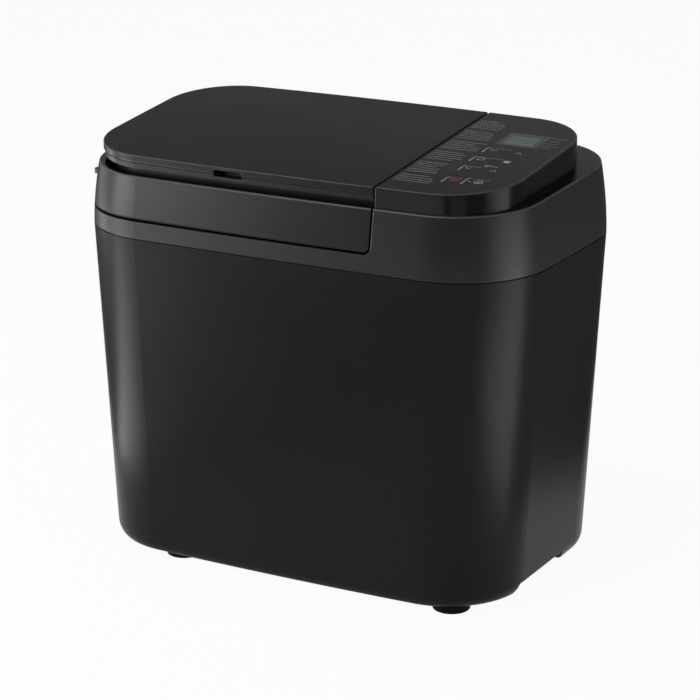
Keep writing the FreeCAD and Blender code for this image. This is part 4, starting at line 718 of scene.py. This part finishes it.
display = {
    "left": 130.0, "right": 166.0, "front": 8.0, "rear": 39.0,
    "leftBorder": 3.4, "rightBorder": 5.5, "frontBorder": 3.4, "rearBorder": 7.0,
    "figures": "0400", "figureMm": (3.772, 9.0), "stroke": 0.9, "first": 136.2, "pitch": 6.0, "base": 18.5,
    "colonGap": 1.2, "colon": (148.1, 148.3), "colonRises": (2.6, 6.4),
    "bars": 6, "barFirst": 135.0, "barPitch": 4.2, "barMm": 2.6, "barUp": 13.6, "barLine": 0.8,
}
segmentEnds = {
    "a": ((0, 1), (1, 1)), "b": ((1, 1), (1, 0.5)), "c": ((1, 0.5), (1, 0)), "d": ((0, 0), (1, 0)),
    "e": ((0, 0.5), (0, 0)), "f": ((0, 1), (0, 0.5)), "g": ((0, 0.5), (1, 0.5)),
}
figureSegments = {"0": "abcdef", "4": "bcfg"}


def corners(left, right, front, rear):
    return [(left, front), (right, front), (right, rear), (left, rear)]


def makeBorder(look):
    mesh = bmesh.new()
    left, right, front, rear = (look[side] for side in ("left", "right", "front", "rear"))
    outer = corners(left, right, front, rear)
    inner = corners(
        left + look["leftBorder"], right - look["rightBorder"],
        front + look["frontBorder"], rear - look["rearBorder"])
    for i in range(4):
        j = (i + 1) % 4
        inkShape(mesh, [outer[i], outer[j], inner[j], inner[i]])
    return mesh


def makeFigures(look):
    # they lie on the milky polariser, where the eye places them
    mesh = bmesh.new()
    wide, tall = look["figureMm"]
    base = look["base"]
    for i, figure in enumerate(look["figures"]):
        x = look["first"] + i * look["pitch"] + (look["colonGap"] if i > 1 else 0)
        for segment in figureSegments[figure]:
            ends = [(x + a * wide, base + b * tall) for a, b in segmentEnds[segment]]
            inkLine(mesh, ends, look["stroke"])
    for rise in look["colonRises"]:
        inkLine(mesh, [(x, base + rise) for x in look["colon"]], look["stroke"])
    for i in range(look["bars"]):
        x = look["barFirst"] + i * look["barPitch"]
        inkLine(mesh, [(x, look["barUp"]), (x + look["barMm"], look["barUp"])], look["barLine"])
    return mesh


# crystal segments that are barely driven: a shade darker than the polariser round them
segmentLook = {
    "colour": "#5d6f70", "fleck": "#647677", "roughness": (0.4, 0.5), "flowMm": 5, "grainMm": 0.5,
    "bump": 0.02,
}
segmentInk = surface("unlit crystal segments", segmentLook, IOR=1.52)
finishInk("displayBorder", makeBorder(display), borderInk, "machine")
finishInk("displayFigures", makeFigures(display), segmentInk, "machine")
print("panel printed")

# Stage

view = {
    "azimuth": 28.794, "elevation": 17.516, "roll": -0.08, "distance": 2.2484,
    "target": (0.001122, -0.000009, 0.171412), "lensMm": 136.947, "sensorMm": 36.0,
}
az, el = math.radians(view["azimuth"]), math.radians(view["elevation"])

# smooth white paper: evenly matt, its fibres hardly seen
floorPaper = {
    "colour": "#ffffff", "fleck": "#fbfbfa", "roughness": (0.85, 0.95), "flowMm": 200, "grainMm": 2.0,
    "bump": 0.02,
    "glow": 0.95,  # the rest is the paper's own shading, so that it keeps the object's shadow
    "level": -0.0003,  # in m, just clear of the feet
    # the paper is cut to what the camera sees: depth along the view and half width there, in m
    "cut": ((-1.6, 0.26), (-0.6, 0.26), (0.0, 0.315), (2.9, 0.72)),
}
studio = {
    "world": "#6a6a6d", "worldStrength": 0.6,
    "lamps": (
        # name, place in m, aims at, size in m, watts
        ("left softbox", (-1.59, -1.24, 0.48), (-0.1, -0.1, 0.48), (1.2, 0.95), 28),
        ("far left softbox", (-1.6, 0.1, 0.25), (-0.1, 0.0, 0.25), (0.9, 0.5), 1.8),
        ("right softbox", (1.417, -0.19, 0.25), (0.541, -0.672, 0.25), (1.15, 0.5), 5),
        ("rear softbox", (-0.7, 1.25, 0.76), (-0.7, 0.0, 0.76), (2.2, 0.62), 1.0),
        ("top softbox", (-0.65, -1.1, 2.0), (0.0, 0.0, 0.3), (1.3, 1.3), 20),
    ),
    # soft panels that lie beside the paper and shine up: middle in m, turn, size in m, watts
    "floorPanels": (
        ("left floor panel", (-0.732, -0.402, 0.004), az, (0.93, 0.26), 6.2),
        ("outer floor panel", (-0.704, -0.650, 0.004), az, (0.44, 0.22), 2.3),
        ("right floor panel", (0.811, -0.022, 0.004), az, (0.78, 0.40), 6.2),
        ("front floor panel", (-0.45, -1.3, 0.004), 0.0, (1.3, 0.45), 3.6),
        ("far left floor panel", (-1.36, -0.08, 0.004), az, (0.3, 0.5), 4.0),
    ),
}


def makeFloor(look):
    mesh = bpy.data.meshes.new("studio floor")
    edge = []
    for side, rows in ((-1, look["cut"]), (1, look["cut"][::-1])):
        for depth, half in rows:
            x = side * half * math.cos(az) - depth * math.sin(az)
            y = side * half * math.sin(az) + depth * math.cos(az)
            edge.append((x, y, look["level"]))
    mesh.from_pydata(edge, [], [tuple(range(len(edge)))[::-1]])
    floor = bpy.data.objects.new("studioFloor", mesh)
    bpy.context.scene.collection.objects.link(floor)
    made = surface("white paper floor", look, Specular_IOR_Level=0.1)
    tree = made["tree"]
    path = addNode(tree, "ShaderNodeLightPath")
    seen = path.outputs["Is Camera Ray"]
    for ray in ("Is Glossy Ray", "Is Transmission Ray"):
        seen = addNode(
            tree, "ShaderNodeMath", None, {0: seen, 1: path.outputs[ray]}, operation="MAXIMUM").outputs[0]
    share = addNode(tree, "ShaderNodeMapRange", {"To Max": look["glow"]}, {"Value": seen})
    glow = addNode(tree, "ShaderNodeEmission", {"Color": hexColour(look["colour"]), "Strength": 1.0})
    mix = addNode(
        tree, "ShaderNodeMixShader", None,
        {0: share.outputs[0], 1: made["shader"].outputs[0], 2: glow.outputs[0]})
    tree.links.new(mix.outputs[0], tree.nodes["Material Output"].inputs["Surface"])
    mesh.materials.append(made["material"])


def addLamp(name, place, size, watts):
    light = bpy.data.lights.new(name, "AREA")
    light.shape = "RECTANGLE"
    light.size, light.size_y = size
    light.energy = watts
    lamp = bpy.data.objects.new(name, light)
    lamp.location = place
    bpy.context.scene.collection.objects.link(lamp)
    return lamp


makeFloor(floorPaper)
world = bpy.data.worlds.new("studio")
world.use_nodes = True
background = world.node_tree.nodes["Background"]
background.inputs["Color"].default_value = hexColour(studio["world"])
background.inputs["Strength"].default_value = studio["worldStrength"]
bpy.context.scene.world = world
for name, place, target, size, watts in studio["lamps"]:
    lamp = addLamp(name, place, size, watts)
    lamp.rotation_euler = (Vector(target) - lamp.location).to_track_quat("-Z", "Y").to_euler()
for name, place, turn, size, watts in studio["floorPanels"]:
    addLamp(name, place, size, watts).rotation_euler = (math.pi, 0, turn)

camera = bpy.data.objects.new("camera", bpy.data.cameras.new("camera"))
camera.data.lens = view["lensMm"]
camera.data.sensor_width = view["sensorMm"]
camera.data.sensor_fit = "HORIZONTAL"
way = Vector((math.sin(az) * math.cos(el), -math.cos(az) * math.cos(el), math.sin(el)))
camera.location = Vector(view["target"]) + way * view["distance"]
aimed = (-way).to_track_quat("-Z", "Y").to_matrix() @ Matrix.Rotation(math.radians(view["roll"]), 3, "Z")
camera.rotation_euler = aimed.to_euler()
bpy.context.scene.collection.objects.link(camera)
bpy.context.scene.camera = camera
bpy.context.scene.view_settings.view_transform = "Standard"
print("stage set")
